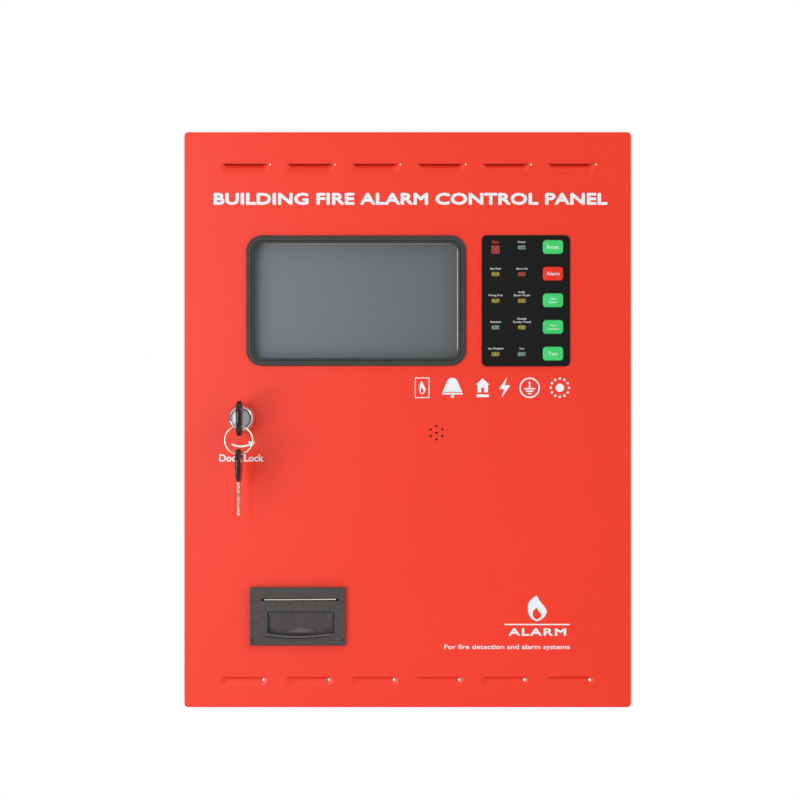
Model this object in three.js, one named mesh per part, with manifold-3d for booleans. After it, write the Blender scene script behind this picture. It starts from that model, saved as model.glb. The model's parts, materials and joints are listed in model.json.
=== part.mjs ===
// Wall-mounted fire alarm control panel: a sheet-steel box with a hinged door.
// Millimetres. X to the right, Z up, the wall is the plane Y = 0 and the door faces -Y.
// The origin is the centre of the box's back face.
import * as THREE from 'three';
import { mergeVertices } from 'three/addons/utils/BufferGeometryUtils.js';
import Module from 'manifold-3d';

const wasm = await Module();
wasm.setup();

// ---- driving dimensions ----------------------------------------------------------------------
const WIDTH = 400; // door, side to side
const HEIGHT = 515; // door, top to bottom
const DEPTH = 140; // wall to door face
const SHEET = 1.5; // steel sheet
const CORNER = 3.5; // bend radius of the door's outline
const DOOR_DEPTH = 20; // door pan
const RIM_GAP = 1; // door rim to box rim
const OVERHANG = 6.5; // door past the box on each side
const LIP = 10; // return lip round the box opening
const FIT = 0.3; // clearance between neighbouring pieces
const REACH = 2; // how far a cut runs past the face that it opens

const FRONT = -DEPTH; // door face
const SKIN = FRONT + SHEET; // back of the door sheet
const DOOR_BACK = FRONT + DOOR_DEPTH;
const BOX_FRONT = DOOR_BACK + RIM_GAP;
const BOX_X = WIDTH / 2 - OVERHANG;
const BOX_Z = HEIGHT / 2 - OVERHANG;
const BEHIND = SKIN + FIT; // first free plane behind the door sheet
const PROUD = FRONT - FIT; // first free plane in front of the door sheet

// pressed louvres, a row near the top and one near the bottom
const LOUVRE = { count: 6, pitch: 58.4, width: 41.5, height: 9.5, depth: 6, wall: 1.2, corner: 4 };
const LOUVRE_TOP = HEIGHT / 2 - 28.3;
const LOUVRE_BOTTOM = -HEIGHT / 2 + 27;

// display window, its rubber edge and the display behind it
const WINDOW = { x: -46.2, z: 106.5, width: 182.6, height: 102.8, corner: 7 };
const GASKET = { face: 7, lip: 2.2, web: 3, back: 1.7 };
const GLASS = { overlap: 4.5, recess: 9, thick: 1.8 };
const DISPLAY = { depth: 8, board: 1.6, wall: 1.5, hook: 8 };

// keypad
const KEYPAD = { x: 105.75, z: 106.4, width: 78.9, height: 117.4, corner: 4.5, thick: 0.9 };
const ROWS = 5;
const ROW_PITCH = 23.85;
const BUTTON = { x: 130, width: 18.5, height: 12.5, corner: 2.4, proud: 1.5, travel: 1, flange: 1.6 };
const LAMP = { left: 78.6, right: 102.1, width: 7, height: 3.4, drop: 0.4 };

// sounder behind a ring of holes
const SOUNDER = { x: 25.8, z: -11.7, ring: 6, hole: 1.1, radius: 13, depth: 12 };

// cam lock
const LOCK = { x: -148.9, z: 1.2, bezel: 13.2, face: 9.8, barrel: 9.5, plug: 7.2, proud: 7.5 };
const CAM = { length: 38, width: 14, thick: 2.5, behindLip: 0.8 };

// keys and their ring
const KEY = { bow: 32, length: 30, thick: 5, blade: 29, bladeWidth: 8, bladeThick: 2.3 };
const KEY_EYE = { long: 16, wide: 5, fromEnd: 3.5 };
const RING = { radius: 12.25, wire: 0.75, hang: 0.6 };

// panel printer
const PRINTER = { x: -98.7, z: -176, width: 85, height: 52, flange: 1, border: 2.5, wall: 1.8 };
const LID = { height: 39.9, thick: 3, notch: 3.1, notchHeight: 5.5, peg: 0.7, boss: 33 };
const SLIT = { shift: 2.55, width: 68.5, height: 2.2 };
const GRIP = { shift: 3.2, width: 59.4, top: 30.4, ends: 11.4, sag: 2.6, band: 3.4, proud: 1 };
const PAPER = { width: 64, roll: 15, core: 5.5, sheet: 0.3 };
const ROLL_ROOM = { front: 1.5, back: 2.2, below: 2.7 }; // roll to platen, rear wall and floor of its case
const PLATEN = { radius: 4, stub: 1.5, behindLid: 8.1, z: 34.3 };

// hinges on the right-hand side, behind the door's overhang
const HINGE = { height: 50, knuckle: 3, pin: 1.5, leaf: 1.5, reach: 20, at: 170 };
const HINGE_X = BOX_X + FIT + HINGE.knuckle;
const HINGE_Y = DOOR_BACK + HINGE.knuckle + RIM_GAP;

// inside the box
const BATTERY = { width: 151, depth: 65, height: 94, tab: 6 };
const CHASSIS = { halfWidth: 150, bottom: -140, top: 235, stand: 12, foot: 10 };
const ENTRY = { pitch: 60, radius: 11, y: -60 };
const KEYHOLE = { x: 172, z: 222, head: 4.5, slot: 2.5, rise: 9 };
const BOARD = 1.6; // printed circuit boards

// ---- solids ----------------------------------------------------------------------------------
/** A closed geometry as a solid that can be joined and cut. */
function solid(geometry) {
  const bare = geometry.clone();
  bare.deleteAttribute('normal');
  bare.deleteAttribute('uv');
  const merged = mergeVertices(bare, 1e-4);
  return new wasm.Manifold(new wasm.Mesh({
    numProp: 3,
    vertProperties: new Float32Array(merged.attributes.position.array),
    triVerts: new Uint32Array(merged.index.array),
  }));
}

/** The geometry of a finished solid. */
function geometryOf(body) {
  const mesh = body.getMesh();
  const geometry = new THREE.BufferGeometry();
  geometry.setAttribute('position', new THREE.BufferAttribute(mesh.vertProperties, 3));
  geometry.setIndex(new THREE.BufferAttribute(mesh.triVerts, 1));
  return geometry;
}

const join = (bodies) => bodies.reduce((sum, body) => sum.add(body));
const cut = (body, tools) => tools.reduce((rest, tool) => rest.subtract(tool), body);

/** A block between two X, two Y and two Z planes. */
function block([x0, x1], [y0, y1], [z0, z1]) {
  const geometry = new THREE.BoxGeometry(Math.abs(x1 - x0), Math.abs(y1 - y0), Math.abs(z1 - z0));
  geometry.translate((x0 + x1) / 2, (y0 + y1) / 2, (z0 + z1) / 2);
  return solid(geometry);
}

/** A rectangle with rounded corners, centred at (x, z). */
function roundedRect(x, z, width, height, radius) {
  const [a, b, c, d] = [x - width / 2, x + width / 2, z - height / 2, z + height / 2];
  const shape = new THREE.Shape();
  shape.moveTo(a + radius, c);
  shape.lineTo(b - radius, c);
  shape.absarc(b - radius, c + radius, radius, -Math.PI / 2, 0);
  shape.lineTo(b, d - radius);
  shape.absarc(b - radius, d - radius, radius, 0, Math.PI / 2);
  shape.lineTo(a + radius, d);
  shape.absarc(a + radius, d - radius, radius, Math.PI / 2, Math.PI);
  shape.lineTo(a, c + radius);
  shape.absarc(a + radius, c + radius, radius, Math.PI, Math.PI * 1.5);
  return shape;
}

/** A shape drawn on the XZ plane and carried along Y between two planes. */
function plate(shape, [y0, y1], curveSegments = 5) {
  const depth = Math.abs(y1 - y0);
  const geometry = new THREE.ExtrudeGeometry(shape, { depth, bevelEnabled: false, curveSegments });
  geometry.rotateX(Math.PI / 2);
  geometry.translate(0, Math.max(y0, y1), 0);
  return solid(geometry);
}

/** Corner points (y, z) carried along X between two planes. */
function bar(corners, [x0, x1], curveSegments = 6) {
  const shape = corners instanceof THREE.Shape ? corners : new THREE.Shape(
    corners.map(([y, z]) => new THREE.Vector2(y, z)));
  const depth = Math.abs(x1 - x0);
  const geometry = new THREE.ExtrudeGeometry(shape, { depth, bevelEnabled: false, curveSegments });
  const [toY, toZ, toX] = [[0, 1, 0], [0, 0, 1], [1, 0, 0]].map((v) => new THREE.Vector3(...v));
  geometry.applyMatrix4(new THREE.Matrix4().makeBasis(toY, toZ, toX));
  geometry.translate(Math.min(x0, x1), 0, 0);
  return solid(geometry);
}

/** A rod along Y, centred at (x, z). */
function rodY(radius, x, z, [y0, y1], sides = 20) {
  const geometry = new THREE.CylinderGeometry(radius, radius, Math.abs(y1 - y0), sides);
  geometry.translate(x, (y0 + y1) / 2, z);
  return solid(geometry);
}

/** A rod along X, centred at (y, z). */
function rodX(radius, y, z, [x0, x1], sides = 20) {
  const geometry = new THREE.CylinderGeometry(radius, radius, Math.abs(x1 - x0), sides);
  geometry.rotateZ(Math.PI / 2);
  geometry.translate((x0 + x1) / 2, y, z);
  return solid(geometry);
}

/** A rod along Z, centred at (x, y). */
function rodZ(radius, x, y, [z0, z1], sides = 16) {
  const geometry = new THREE.CylinderGeometry(radius, radius, Math.abs(z1 - z0), sides);
  geometry.rotateX(Math.PI / 2);
  geometry.translate(x, y, (z0 + z1) / 2);
  return solid(geometry);
}

/** A profile of (radius, y) points turned about a line along Y through (x, z). */
function turned(profile, x, z, sides = 32) {
  const points = profile.map(([radius, y]) => new THREE.Vector2(radius, y));
  const geometry = new THREE.LatheGeometry(points, sides);
  geometry.translate(x, 0, z);
  return solid(geometry);
}

/** A named piece in its own material, ready to be placed in a group. */
function piece(name, body, finish) {
  const mesh = new THREE.Mesh(geometryOf(body), finish);
  mesh.name = name;
  return mesh;
}

const finish = (color, roughness, metalness) =>
  new THREE.MeshStandardMaterial({ color, roughness, metalness });

const redPowderCoat = finish(0xe8321f, 0.5, 0.1);
const zincPlate = finish(0xb9bcc0, 0.4, 0.9);
const chrome = finish(0xd8dade, 0.12, 1);
const nickelSilver = finish(0xc4bfae, 0.3, 1);
const blackRubber = finish(0x2b2e30, 0.8, 0);
const screenGlass = finish(0x6f787c, 0.25, 0);
const blackPlastic = finish(0x1b1c1d, 0.45, 0);
const charcoalPlastic = finish(0x464442, 0.7, 0);
const overlayFilm = finish(0x1c1e1d, 0.35, 0);
const greenBoard = finish(0x1f5c3a, 0.5, 0);
const greenTerminal = finish(0x2f8a4a, 0.5, 0);
const paperWhite = finish(0xf1ecd9, 0.9, 0);
const batteryCase = finish(0x4b4f55, 0.6, 0);

/** A closed profile of (radius, z) points turned about a vertical line through (x, y). */
function turnedUp(profile, x, y, sides = 16) {
  const points = profile.map(([radius, z]) => new THREE.Vector2(radius, z));
  const geometry = new THREE.LatheGeometry(points, sides);
  geometry.rotateX(Math.PI / 2);
  geometry.translate(x, y, 0);
  return solid(geometry);
}

// ---- box -------------------------------------------------------------------------------------
/** Folded pan with a return lip, keyholes in its back and cable entries in its top. */
function backBox() {
  const [x, z] = [BOX_X - SHEET, BOX_Z - SHEET];
  const through = [REACH, -SHEET - REACH];
  const keyholes = [-1, 1].flatMap((side) => [-1, 1].flatMap((end) => {
    const [kx, kz] = [side * KEYHOLE.x, end * KEYHOLE.z];
    return [
      rodY(KEYHOLE.head, kx, kz, through),
      block([kx - KEYHOLE.slot, kx + KEYHOLE.slot], through, [kz, kz + KEYHOLE.rise]),
    ];
  }));
  const entries = [-2, -1, 0, 1, 2].map((step) => {
    const ex = step * ENTRY.pitch;
    const hole = rodZ(ENTRY.radius, ex, ENTRY.y, [z - REACH, BOX_Z + REACH]);
    if (step % 2 !== 0) return hole;
    const groove = [BOX_Z - SHEET / 2, BOX_Z + REACH];
    return cut(rodZ(ENTRY.radius, ex, ENTRY.y, groove),
      [rodZ(ENTRY.radius - 1, ex, ENTRY.y, [z, BOX_Z + 2 * REACH])]);
  });
  return cut(plate(roundedRect(0, 0, 2 * BOX_X, 2 * BOX_Z, CORNER), [0, BOX_FRONT]), [
    block([-x, x], [-SHEET, BOX_FRONT + SHEET], [-z, z]),
    block([-x + LIP, x - LIP], [BOX_FRONT + 2 * SHEET, BOX_FRONT - REACH], [-z + LIP, z - LIP]),
    ...keyholes,
    ...entries,
  ]);
}

/** Rubber grommet snapped into a cable entry. */
function cableGrommet(step) {
  const [bore, neck, flange, thick] = [7, ENTRY.radius - FIT, ENTRY.radius + 3, 2];
  const [low, high] = [BOX_Z - SHEET - FIT, BOX_Z + FIT];
  return turnedUp([
    [bore, low - thick], [flange - 1, low - thick], [flange, low], [neck, low], [neck, high],
    [flange, high], [flange - 1.5, high + thick], [bore, high + thick], [bore, low - thick],
  ], step * ENTRY.pitch, ENTRY.y);
}

// ---- hinges ----------------------------------------------------------------------------------
const knuckleBore = (z) =>
  rodZ(HINGE.pin + FIT, HINGE_X, HINGE_Y, [z - HINGE.height, z + HINGE.height]);

/** Leaf on the outside of the box with the lower knuckle. */
function boxLeaf(z) {
  const half = HINGE.height / 2;
  const x = [BOX_X + FIT, BOX_X + FIT + HINGE.leaf];
  const clear = HINGE_Y + HINGE.knuckle + FIT;
  const lower = [z - half, z - FIT / 2];
  return cut(join([
    block(x, [clear, HINGE_Y + HINGE.reach], [z - half, z + half]),
    block(x, [HINGE_Y, clear + FIT], lower),
    rodZ(HINGE.knuckle, HINGE_X, HINGE_Y, lower),
  ]), [knuckleBore(z)]);
}

/** Leaf inside the door's rim with the upper knuckle. */
function doorLeaf(z) {
  const half = HINGE.height / 2;
  const outer = WIDTH / 2 - SHEET - FIT;
  const x = [outer - HINGE.leaf, outer];
  const clear = HINGE_Y - HINGE.knuckle - FIT;
  const upper = [z + FIT / 2, z + half];
  return cut(join([
    block(x, [clear, HINGE_Y - HINGE.reach], [z - half, z + half]),
    block(x, [HINGE_Y, clear - FIT], upper),
    rodZ(HINGE.knuckle, HINGE_X, HINGE_Y, upper),
  ]), [knuckleBore(z)]);
}

/** Pin with a head above the upper knuckle. */
function hingePin(z) {
  const half = HINGE.height / 2;
  return join([
    rodZ(HINGE.pin, HINGE_X, HINGE_Y, [z - half - 1, z + half + FIT + 1]),
    rodZ(HINGE.knuckle - 0.4, HINGE_X, HINGE_Y, [z + half + FIT, z + half + FIT + 1.5]),
  ]);
}

// ---- door ------------------------------------------------------------------------------------
const louvreX = (index) => (index - (LOUVRE.count - 1) / 2) * LOUVRE.pitch;

/** Hood pressed into the door below a lance line, and the pocket that it leaves in front. */
function louvre(x, lance) {
  const { width, height, depth, wall, corner } = LOUVRE;
  const hood = bar([
    [FRONT + SHEET / 2, lance],
    [FRONT + depth + wall, lance],
    [FRONT + SHEET / 2, lance - height - 2 * wall],
  ], [x - width / 2 - wall, x + width / 2 + wall]);
  const ramp = bar([
    [FRONT - REACH, lance - height * (1 + REACH / depth)],
    [FRONT - REACH, lance],
    [SKIN, lance],
    [SKIN, lance + REACH],
    [FRONT + depth, lance + REACH],
    [FRONT + depth, lance],
  ], [x - width / 2, x + width / 2]);
  const outline = roundedRect(x, lance, width, 2 * height, corner);
  return { hood, pocket: ramp.intersect(plate(outline, [FRONT - REACH, FRONT + depth + wall], 3)) };
}

const rowZ = (row) => KEYPAD.z + LAMP.drop + ((ROWS - 1) / 2 - row) * ROW_PITCH;

/** Door pan with its louvres and the openings for everything that sits in it. */
function doorShell() {
  const louvres = [LOUVRE_TOP, LOUVRE_BOTTOM].flatMap((lance) =>
    Array.from({ length: LOUVRE.count }, (_, index) => louvre(louvreX(index), lance)));
  const [x, z] = [WIDTH / 2 - SHEET, HEIGHT / 2 - SHEET];
  const pan = cut(plate(roundedRect(0, 0, WIDTH, HEIGHT, CORNER), [DOOR_BACK, FRONT]),
    [block([-x, x], [SKIN, DOOR_BACK + REACH], [-z, z])]);
  const through = [FRONT - REACH, SKIN + REACH];
  const { web } = GASKET;
  const soundHoles = Array.from({ length: 7 }, (_, index) => {
    const turn = (index * Math.PI) / 3 + Math.PI / 2;
    const away = index < 6 ? SOUNDER.ring : 0;
    return rodY(SOUNDER.hole, SOUNDER.x + away * Math.cos(turn), SOUNDER.z + away * Math.sin(turn),
      through, 8);
  });
  return cut(join([pan, ...louvres.map(({ hood }) => hood)]), [
    ...louvres.map(({ pocket }) => pocket),
    plate(roundedRect(WINDOW.x, WINDOW.z, WINDOW.width + 2 * web, WINDOW.height + 2 * web,
      WINDOW.corner + web), through),
    plate(roundedRect(KEYPAD.x, KEYPAD.z, KEYPAD.width - 11, KEYPAD.height - 8.4, 3), through),
    plate(roundedRect(PRINTER.x, PRINTER.z, PRINTER.width - 2 * PRINTER.border + 2 * FIT,
      PRINTER.height - 2 * PRINTER.border + 2 * FIT, 1), through),
    rodY(LOCK.barrel + FIT, LOCK.x, LOCK.z, through, 32),
    ...soundHoles,
  ]);
}

/** Rubber edge with a lip on each side of the door sheet and a web through the cut-out. */
function windowGasket() {
  const { face, lip, web, back } = GASKET;
  const ring = (grow, y) => plate(roundedRect(WINDOW.x, WINDOW.z, WINDOW.width + 2 * grow,
    WINDOW.height + 2 * grow, WINDOW.corner + grow), y, 4);
  return cut(join([
    ring(face - 0.8, [PROUD, PROUD - lip]),
    ring(face, [PROUD, PROUD - lip + 0.8]),
    ring(web - FIT, [PROUD - FIT, BEHIND + FIT]),
    ring(face - 1, [BEHIND, BEHIND + back]),
  ]), [ring(0, [PROUD - lip - REACH, BEHIND + back + REACH])]);
}

// ---- display ---------------------------------------------------------------------------------
const GLASS_X = WINDOW.width / 2 + GLASS.overlap;
const GLASS_Z = WINDOW.height / 2 + GLASS.overlap;
const GLASS_FRONT = FRONT + GLASS.recess;
const MODULE_FRONT = GLASS_FRONT + GLASS.thick + FIT;
const MODULE_BACK = MODULE_FRONT + DISPLAY.depth + DISPLAY.board;
const aroundWindow = (halfX) => [WINDOW.x - halfX, WINDOW.x + halfX];

const touchLens = () => plate(
  roundedRect(WINDOW.x, WINDOW.z, 2 * GLASS_X, 2 * GLASS_Z, 2), [GLASS_FRONT, GLASS_FRONT + GLASS.thick]);

/** Liquid crystal module with its driver board, chips and ribbon socket on the back. */
function displayModule() {
  const [x, z] = [GLASS_X - 1, GLASS_Z - 1];
  const boardBack = [MODULE_BACK - FIT, MODULE_BACK + 1.4];
  const onBoard = (dx, dz, width, height, y = boardBack) => block(
    [WINDOW.x + dx - width / 2, WINDOW.x + dx + width / 2], y,
    [WINDOW.z + dz - height / 2, WINDOW.z + dz + height / 2]);
  return join([
    onBoard(0, 0, 2 * x, 2 * z, [MODULE_FRONT, MODULE_BACK - DISPLAY.board]),
    onBoard(0, 0, 2 * x - 6, 2 * z - 6, [MODULE_BACK - DISPLAY.board - FIT, MODULE_BACK]),
    onBoard(-30, 14, 18, 18),
    onBoard(8, 14, 12, 16),
    onBoard(34, 18, 12, 8),
    onBoard(30, -18, 9, 9),
    onBoard(-20, -34, 44, 7, [MODULE_BACK - FIT, MODULE_BACK + 5]),
    onBoard(60, -30, 14, 6, [MODULE_BACK - FIT, MODULE_BACK + 5]),
  ]);
}

/** Frame behind the door that holds the glass to the window and hooks round the module. */
function displayBracket() {
  const [inner, outer] = [GLASS_X + FIT, GLASS_X + FIT + DISPLAY.wall];
  const front = BEHIND + GASKET.back + FIT;
  const lugStart = WINDOW.width / 2 + GASKET.face + FIT;
  const frame = plate(roundedRect(WINDOW.x, WINDOW.z, 2 * outer, 2 * (GLASS_Z + FIT), 2),
    [front, GLASS_FRONT - FIT]);
  const sides = [-1, 1].flatMap((side) => {
    const at = (near, far) => [WINDOW.x + side * near, WINDOW.x + side * far];
    const tall = [WINDOW.z - GLASS_Z + 12, WINDOW.z + GLASS_Z - 12];
    const lugs = [-1, 1].flatMap((end) => {
      const z = WINDOW.z + end * 36;
      return [
        block(at(outer - FIT, lugStart + 9), [front, front + 4], [z - 6, z + 6]),
        block(at(lugStart, lugStart + 9), [BEHIND, front + 4], [z - 6, z + 6]),
      ];
    });
    return [
      block(at(inner, outer), [GLASS_FRONT - FIT - REACH, MODULE_BACK + FIT], tall),
      block(at(inner - DISPLAY.hook, outer), [MODULE_BACK + FIT, MODULE_BACK + FIT + DISPLAY.wall], tall),
      ...lugs,
    ];
  });
  const screwHoles = [-1, 1].flatMap((side) => [-1, 1].map((end) =>
    rodY(1.6, WINDOW.x + side * (lugStart + 5), WINDOW.z + end * 36, [BEHIND - 1, front + 5], 8)));
  const mouth = plate(roundedRect(WINDOW.x, WINDOW.z, WINDOW.width + 1, WINDOW.height + 1,
    WINDOW.corner), [front - REACH, GLASS_FRONT]);
  return cut(join([frame, ...sides]), [mouth, ...screwHoles]);
}

// ---- keypad ----------------------------------------------------------------------------------
const OVERLAY_FRONT = PROUD - KEYPAD.thick;
const BUTTON_FLANGE = SKIN + 1;
const BUTTON_BACK = BUTTON_FLANGE + BUTTON.flange;
const SWITCH_TOP = BUTTON_BACK + BUTTON.travel + FIT;
const KEYPAD_BOARD = SWITCH_TOP + 1.7;
const LAMP_BACK = SKIN + FIT;

/** The width, height and middle of each indicator window, by column and row. */
function lampPlace(column, row) {
  const large = column === 'left' && row === 0;
  return {
    x: LAMP[column],
    z: rowZ(row) - LAMP.drop - (large ? 1.9 : 0),
    width: large ? 7.5 : LAMP.width,
    height: large ? 7.2 : LAMP.height,
  };
}

const lamps = ['left', 'right'].flatMap((column) =>
  Array.from({ length: ROWS }, (_, row) => lampPlace(column, row)));

/** Film plate stuck over the keypad opening, open for the buttons and indicator windows. */
function keypadOverlay() {
  const through = [PROUD + REACH, OVERLAY_FRONT - REACH];
  const slack = 2 * (FIT + 0.1);
  const buttons = Array.from({ length: ROWS }, (_, row) => plate(roundedRect(BUTTON.x, rowZ(row),
    BUTTON.width + slack, BUTTON.height + slack, BUTTON.corner + slack / 2), through, 2));
  const windows = lamps.map(({ x, z, width, height }) =>
    plate(roundedRect(x, z, width + slack, height + slack, 0.8), through, 1));
  return cut(plate(roundedRect(KEYPAD.x, KEYPAD.z, KEYPAD.width, KEYPAD.height, KEYPAD.corner),
    [PROUD, OVERLAY_FRONT]), [...buttons, ...windows]);
}

/** Key cap with a flange that keeps it behind the film plate. */
function buttonCap() {
  const { width, height, corner, proud, flange } = BUTTON;
  return join([
    plate(roundedRect(0, 0, width, height, corner), [OVERLAY_FRONT - proud + 0.5, BUTTON_FLANGE + FIT], 3),
    plate(roundedRect(0, 0, width - 1, height - 1, corner - 0.5), [OVERLAY_FRONT - proud,
      OVERLAY_FRONT - proud + 0.6], 3),
    plate(roundedRect(0, 0, width + 3, height + 3, corner), [BUTTON_FLANGE, BUTTON_BACK], 1),
  ]);
}

/** Coloured window with a flange behind the film plate. */
function indicator({ width, height }) {
  return join([
    plate(roundedRect(0, 0, width, height, 0.6), [OVERLAY_FRONT, LAMP_BACK], 1),
    plate(roundedRect(0, 0, width + 1.8, height + 1.8, 0.6), [PROUD + FIT, LAMP_BACK], 1),
  ]);
}

/** Keypad circuit board on four posts, with a switch behind each button and a diode behind each window. */
function keypadBoard() {
  const [halfX, halfZ] = [KEYPAD.width / 2 + 2.5, KEYPAD.height / 2 + 3.3];
  const onBoard = [KEYPAD_BOARD + FIT, KEYPAD_BOARD];
  const switches = Array.from({ length: ROWS }, (_, row) => {
    const z = rowZ(row);
    return join([
      block([BUTTON.x - 3, BUTTON.x + 3], [KEYPAD_BOARD + FIT, SWITCH_TOP + 0.6], [z - 3, z + 3]),
      rodY(1.6, BUTTON.x, z, [SWITCH_TOP + 1, SWITCH_TOP], 8),
    ]);
  });
  const diodes = lamps.map(({ x, z }) => rodY(1.5, x, z, [onBoard[0], LAMP_BACK + FIT], 6));
  const posts = [-1, 1].flatMap((side) => [-1, 1].map((end) => rodY(2.5,
    KEYPAD.x + side * (halfX - 2.8), KEYPAD.z + end * (halfZ - 2.8), [onBoard[0], BEHIND], 8)));
  const socket = block([KEYPAD.x - 20, KEYPAD.x + 8], [KEYPAD_BOARD + BOARD - FIT, KEYPAD_BOARD + BOARD + 6],
    [KEYPAD.z - halfZ + 8, KEYPAD.z - halfZ + 15]);
  return join([
    block([KEYPAD.x - halfX, KEYPAD.x + halfX], [KEYPAD_BOARD, KEYPAD_BOARD + BOARD],
      [KEYPAD.z - halfZ, KEYPAD.z + halfZ]),
    ...switches, ...diodes, ...posts, socket,
  ]);
}

// ---- sounder ---------------------------------------------------------------------------------
/** Round sounder pressed against the door behind its holes, with two terminal pins. */
function sounder() {
  const back = BEHIND + SOUNDER.depth;
  const pin = (side) => rodY(0.8, SOUNDER.x + side * 4, SOUNDER.z, [back - FIT, back + 4], 8);
  return join([
    turned([[0, BEHIND + 3], [2, BEHIND + 3], [2, BEHIND], [SOUNDER.radius - 1, BEHIND],
      [SOUNDER.radius, BEHIND + 1], [SOUNDER.radius, back], [0, back]], SOUNDER.x, SOUNDER.z, 20),
    pin(-1), pin(1),
  ]);
}

// ---- lock ------------------------------------------------------------------------------------
const LOCK_FACE = PROUD - LOCK.proud;
const CAM_FRONT = BOX_FRONT + SHEET + CAM.behindLip;
const LOCK_REAR = CAM_FRONT - 2 * FIT;
const PLUG_FACE = LOCK_FACE - FIT;
const KEYWAY = { halfWide: 1.45, halfHigh: 4.3, end: LOCK_REAR - 1.7 };
const SQUARE = 4; // half side of the drive between plug and cam

/** Threaded barrel through the door with a conical bezel in front. */
function lockHousing() {
  const { bezel, face, barrel, plug } = LOCK;
  const bore = plug + FIT;
  return turned([
    [bore, LOCK_FACE], [face - 0.4, LOCK_FACE], [face, LOCK_FACE + 0.4], [bezel, PROUD - 1.4],
    [bezel, PROUD], [barrel, PROUD], [barrel, LOCK_REAR], [bore, LOCK_REAR], [bore, LOCK_FACE],
  ], LOCK.x, LOCK.z, 28);
}

/** Hexagonal nut that clamps the barrel from behind. */
function lockNut() {
  const hexagon = rodY(15.5, LOCK.x, LOCK.z, [BEHIND, BEHIND + 4], 6);
  return cut(hexagon, [rodY(LOCK.barrel + FIT, LOCK.x, LOCK.z, [BEHIND - 1, BEHIND + 5], 32)]);
}

/** Turning plug with its keyway in front and a square drive behind. */
function lockPlug() {
  const tang = [LOCK_REAR - REACH, CAM_FRONT + CAM.thick - FIT];
  return cut(join([
    rodY(LOCK.plug, LOCK.x, LOCK.z, [PLUG_FACE, LOCK_REAR], 32),
    block([LOCK.x - SQUARE, LOCK.x + SQUARE], tang, [LOCK.z - SQUARE, LOCK.z + SQUARE]),
  ]), [
    block([LOCK.x - KEYWAY.halfWide, LOCK.x + KEYWAY.halfWide], [PLUG_FACE - REACH, KEYWAY.end],
      [LOCK.z - KEYWAY.halfHigh, LOCK.z + KEYWAY.halfHigh]),
    rodY(2.3, LOCK.x, LOCK.z, [tang[1] - 3, tang[1] + REACH], 12),
  ]);
}

/** Flat cam, hanging down while the door is free and pointing outwards when it is locked. */
function lockCam() {
  const { length, width, thick } = CAM;
  const middle = LOCK.z - (length - width / 2) / 2;
  const [back, front] = [CAM_FRONT + thick, CAM_FRONT];
  const hole = SQUARE + FIT;
  return cut(plate(roundedRect(LOCK.x, middle, width, length + width / 2, width / 2 - 0.1), [back, front]), [
    block([LOCK.x - hole, LOCK.x + hole], [front - REACH, back + REACH], [LOCK.z - hole, LOCK.z + hole]),
  ]);
}

/** Screw that holds the cam on the plug. */
function camScrew() {
  const seat = CAM_FRONT + CAM.thick + FIT;
  return cut(join([
    turned([[0, seat], [5.5, seat], [5.5, seat + 1.6], [4.4, seat + 2.6], [0, seat + 2.6]],
      LOCK.x, LOCK.z, 20),
    rodY(2, LOCK.x, LOCK.z, [seat + FIT, seat - 3], 12),
  ]), [block([LOCK.x - 0.5, LOCK.x + 0.5], [seat + 1.6, seat + 4], [LOCK.z - 3.4, LOCK.z + 3.4])]);
}

// ---- keys: each is drawn with its shoulder at the origin and its blade along +Y -----------------
const EYE_Y = -KEY.length + KEY_EYE.fromEnd + KEY_EYE.wide / 2;
const POCKET = { long: 12, halfHigh: 5.8, halfWide: KEY.bladeThick / 2 + FIT };

/** Plastic bow with rounded shoulders, an eye across its end and a pocket for the blade's head. */
function keyBow() {
  const { bow, length, thick } = KEY;
  const outline = (grow) => {
    const [half, low, high] = [bow / 2 + grow, -length - grow, grow];
    const shape = new THREE.Shape();
    shape.moveTo(high, -8);
    shape.lineTo(high, 8);
    shape.quadraticCurveTo(high - 1, half - 2, high - 9, half);
    shape.quadraticCurveTo(low + 9, half, low + 3, half - 6);
    shape.quadraticCurveTo(low, half - 9, low, 0);
    shape.quadraticCurveTo(low, -half + 9, low + 3, -half + 6);
    shape.quadraticCurveTo(low + 9, -half, high - 9, -half);
    shape.quadraticCurveTo(high - 1, -half + 2, high, -8);
    return shape;
  };
  const eye = new THREE.Shape();
  const [round, half] = [KEY_EYE.wide / 2, KEY_EYE.long / 2];
  eye.absarc(EYE_Y, half - round, round, 0, Math.PI);
  eye.absarc(EYE_Y, -half + round, round, Math.PI, 2 * Math.PI);
  return cut(join([
    bar(outline(0), [-thick / 2 + 1, thick / 2 - 1], 3),
    bar(outline(-0.7), [-thick / 2, thick / 2], 3),
  ]), [
    bar(eye, [-thick, thick], 4),
    block([-POCKET.halfWide, POCKET.halfWide], [-POCKET.long, REACH], [-POCKET.halfHigh, POCKET.halfHigh]),
  ]);
}

/** Metal blade with bitting on both edges and a head inside the bow. */
function keyBlade() {
  const [half, side] = [KEY.bladeWidth / 2, KEY.bladeThick / 2];
  const teeth = 7;
  const pitch = (KEY.blade - 5) / teeth;
  const edge = Array.from({ length: teeth }, (_, index) => {
    const y = 3 + index * pitch;
    const notch = half - 0.9 - 0.5 * (index % 3);
    return [[y, half], [y + pitch * 0.35, notch], [y + pitch * 0.65, notch]];
  }).flat();
  const upper = [...edge, [KEY.blade - 2, half - 0.5], [KEY.blade, half - 2]];
  const lower = upper.map(([y, z]) => [y, -z]).reverse();
  const head = [[-POCKET.long + FIT, POCKET.halfHigh - FIT], [0, POCKET.halfHigh - FIT], [0, half]];
  return bar([...head, ...upper, ...lower, ...head.map(([y, z]) => [y, -z]).reverse()], [-side, side]);
}

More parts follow.
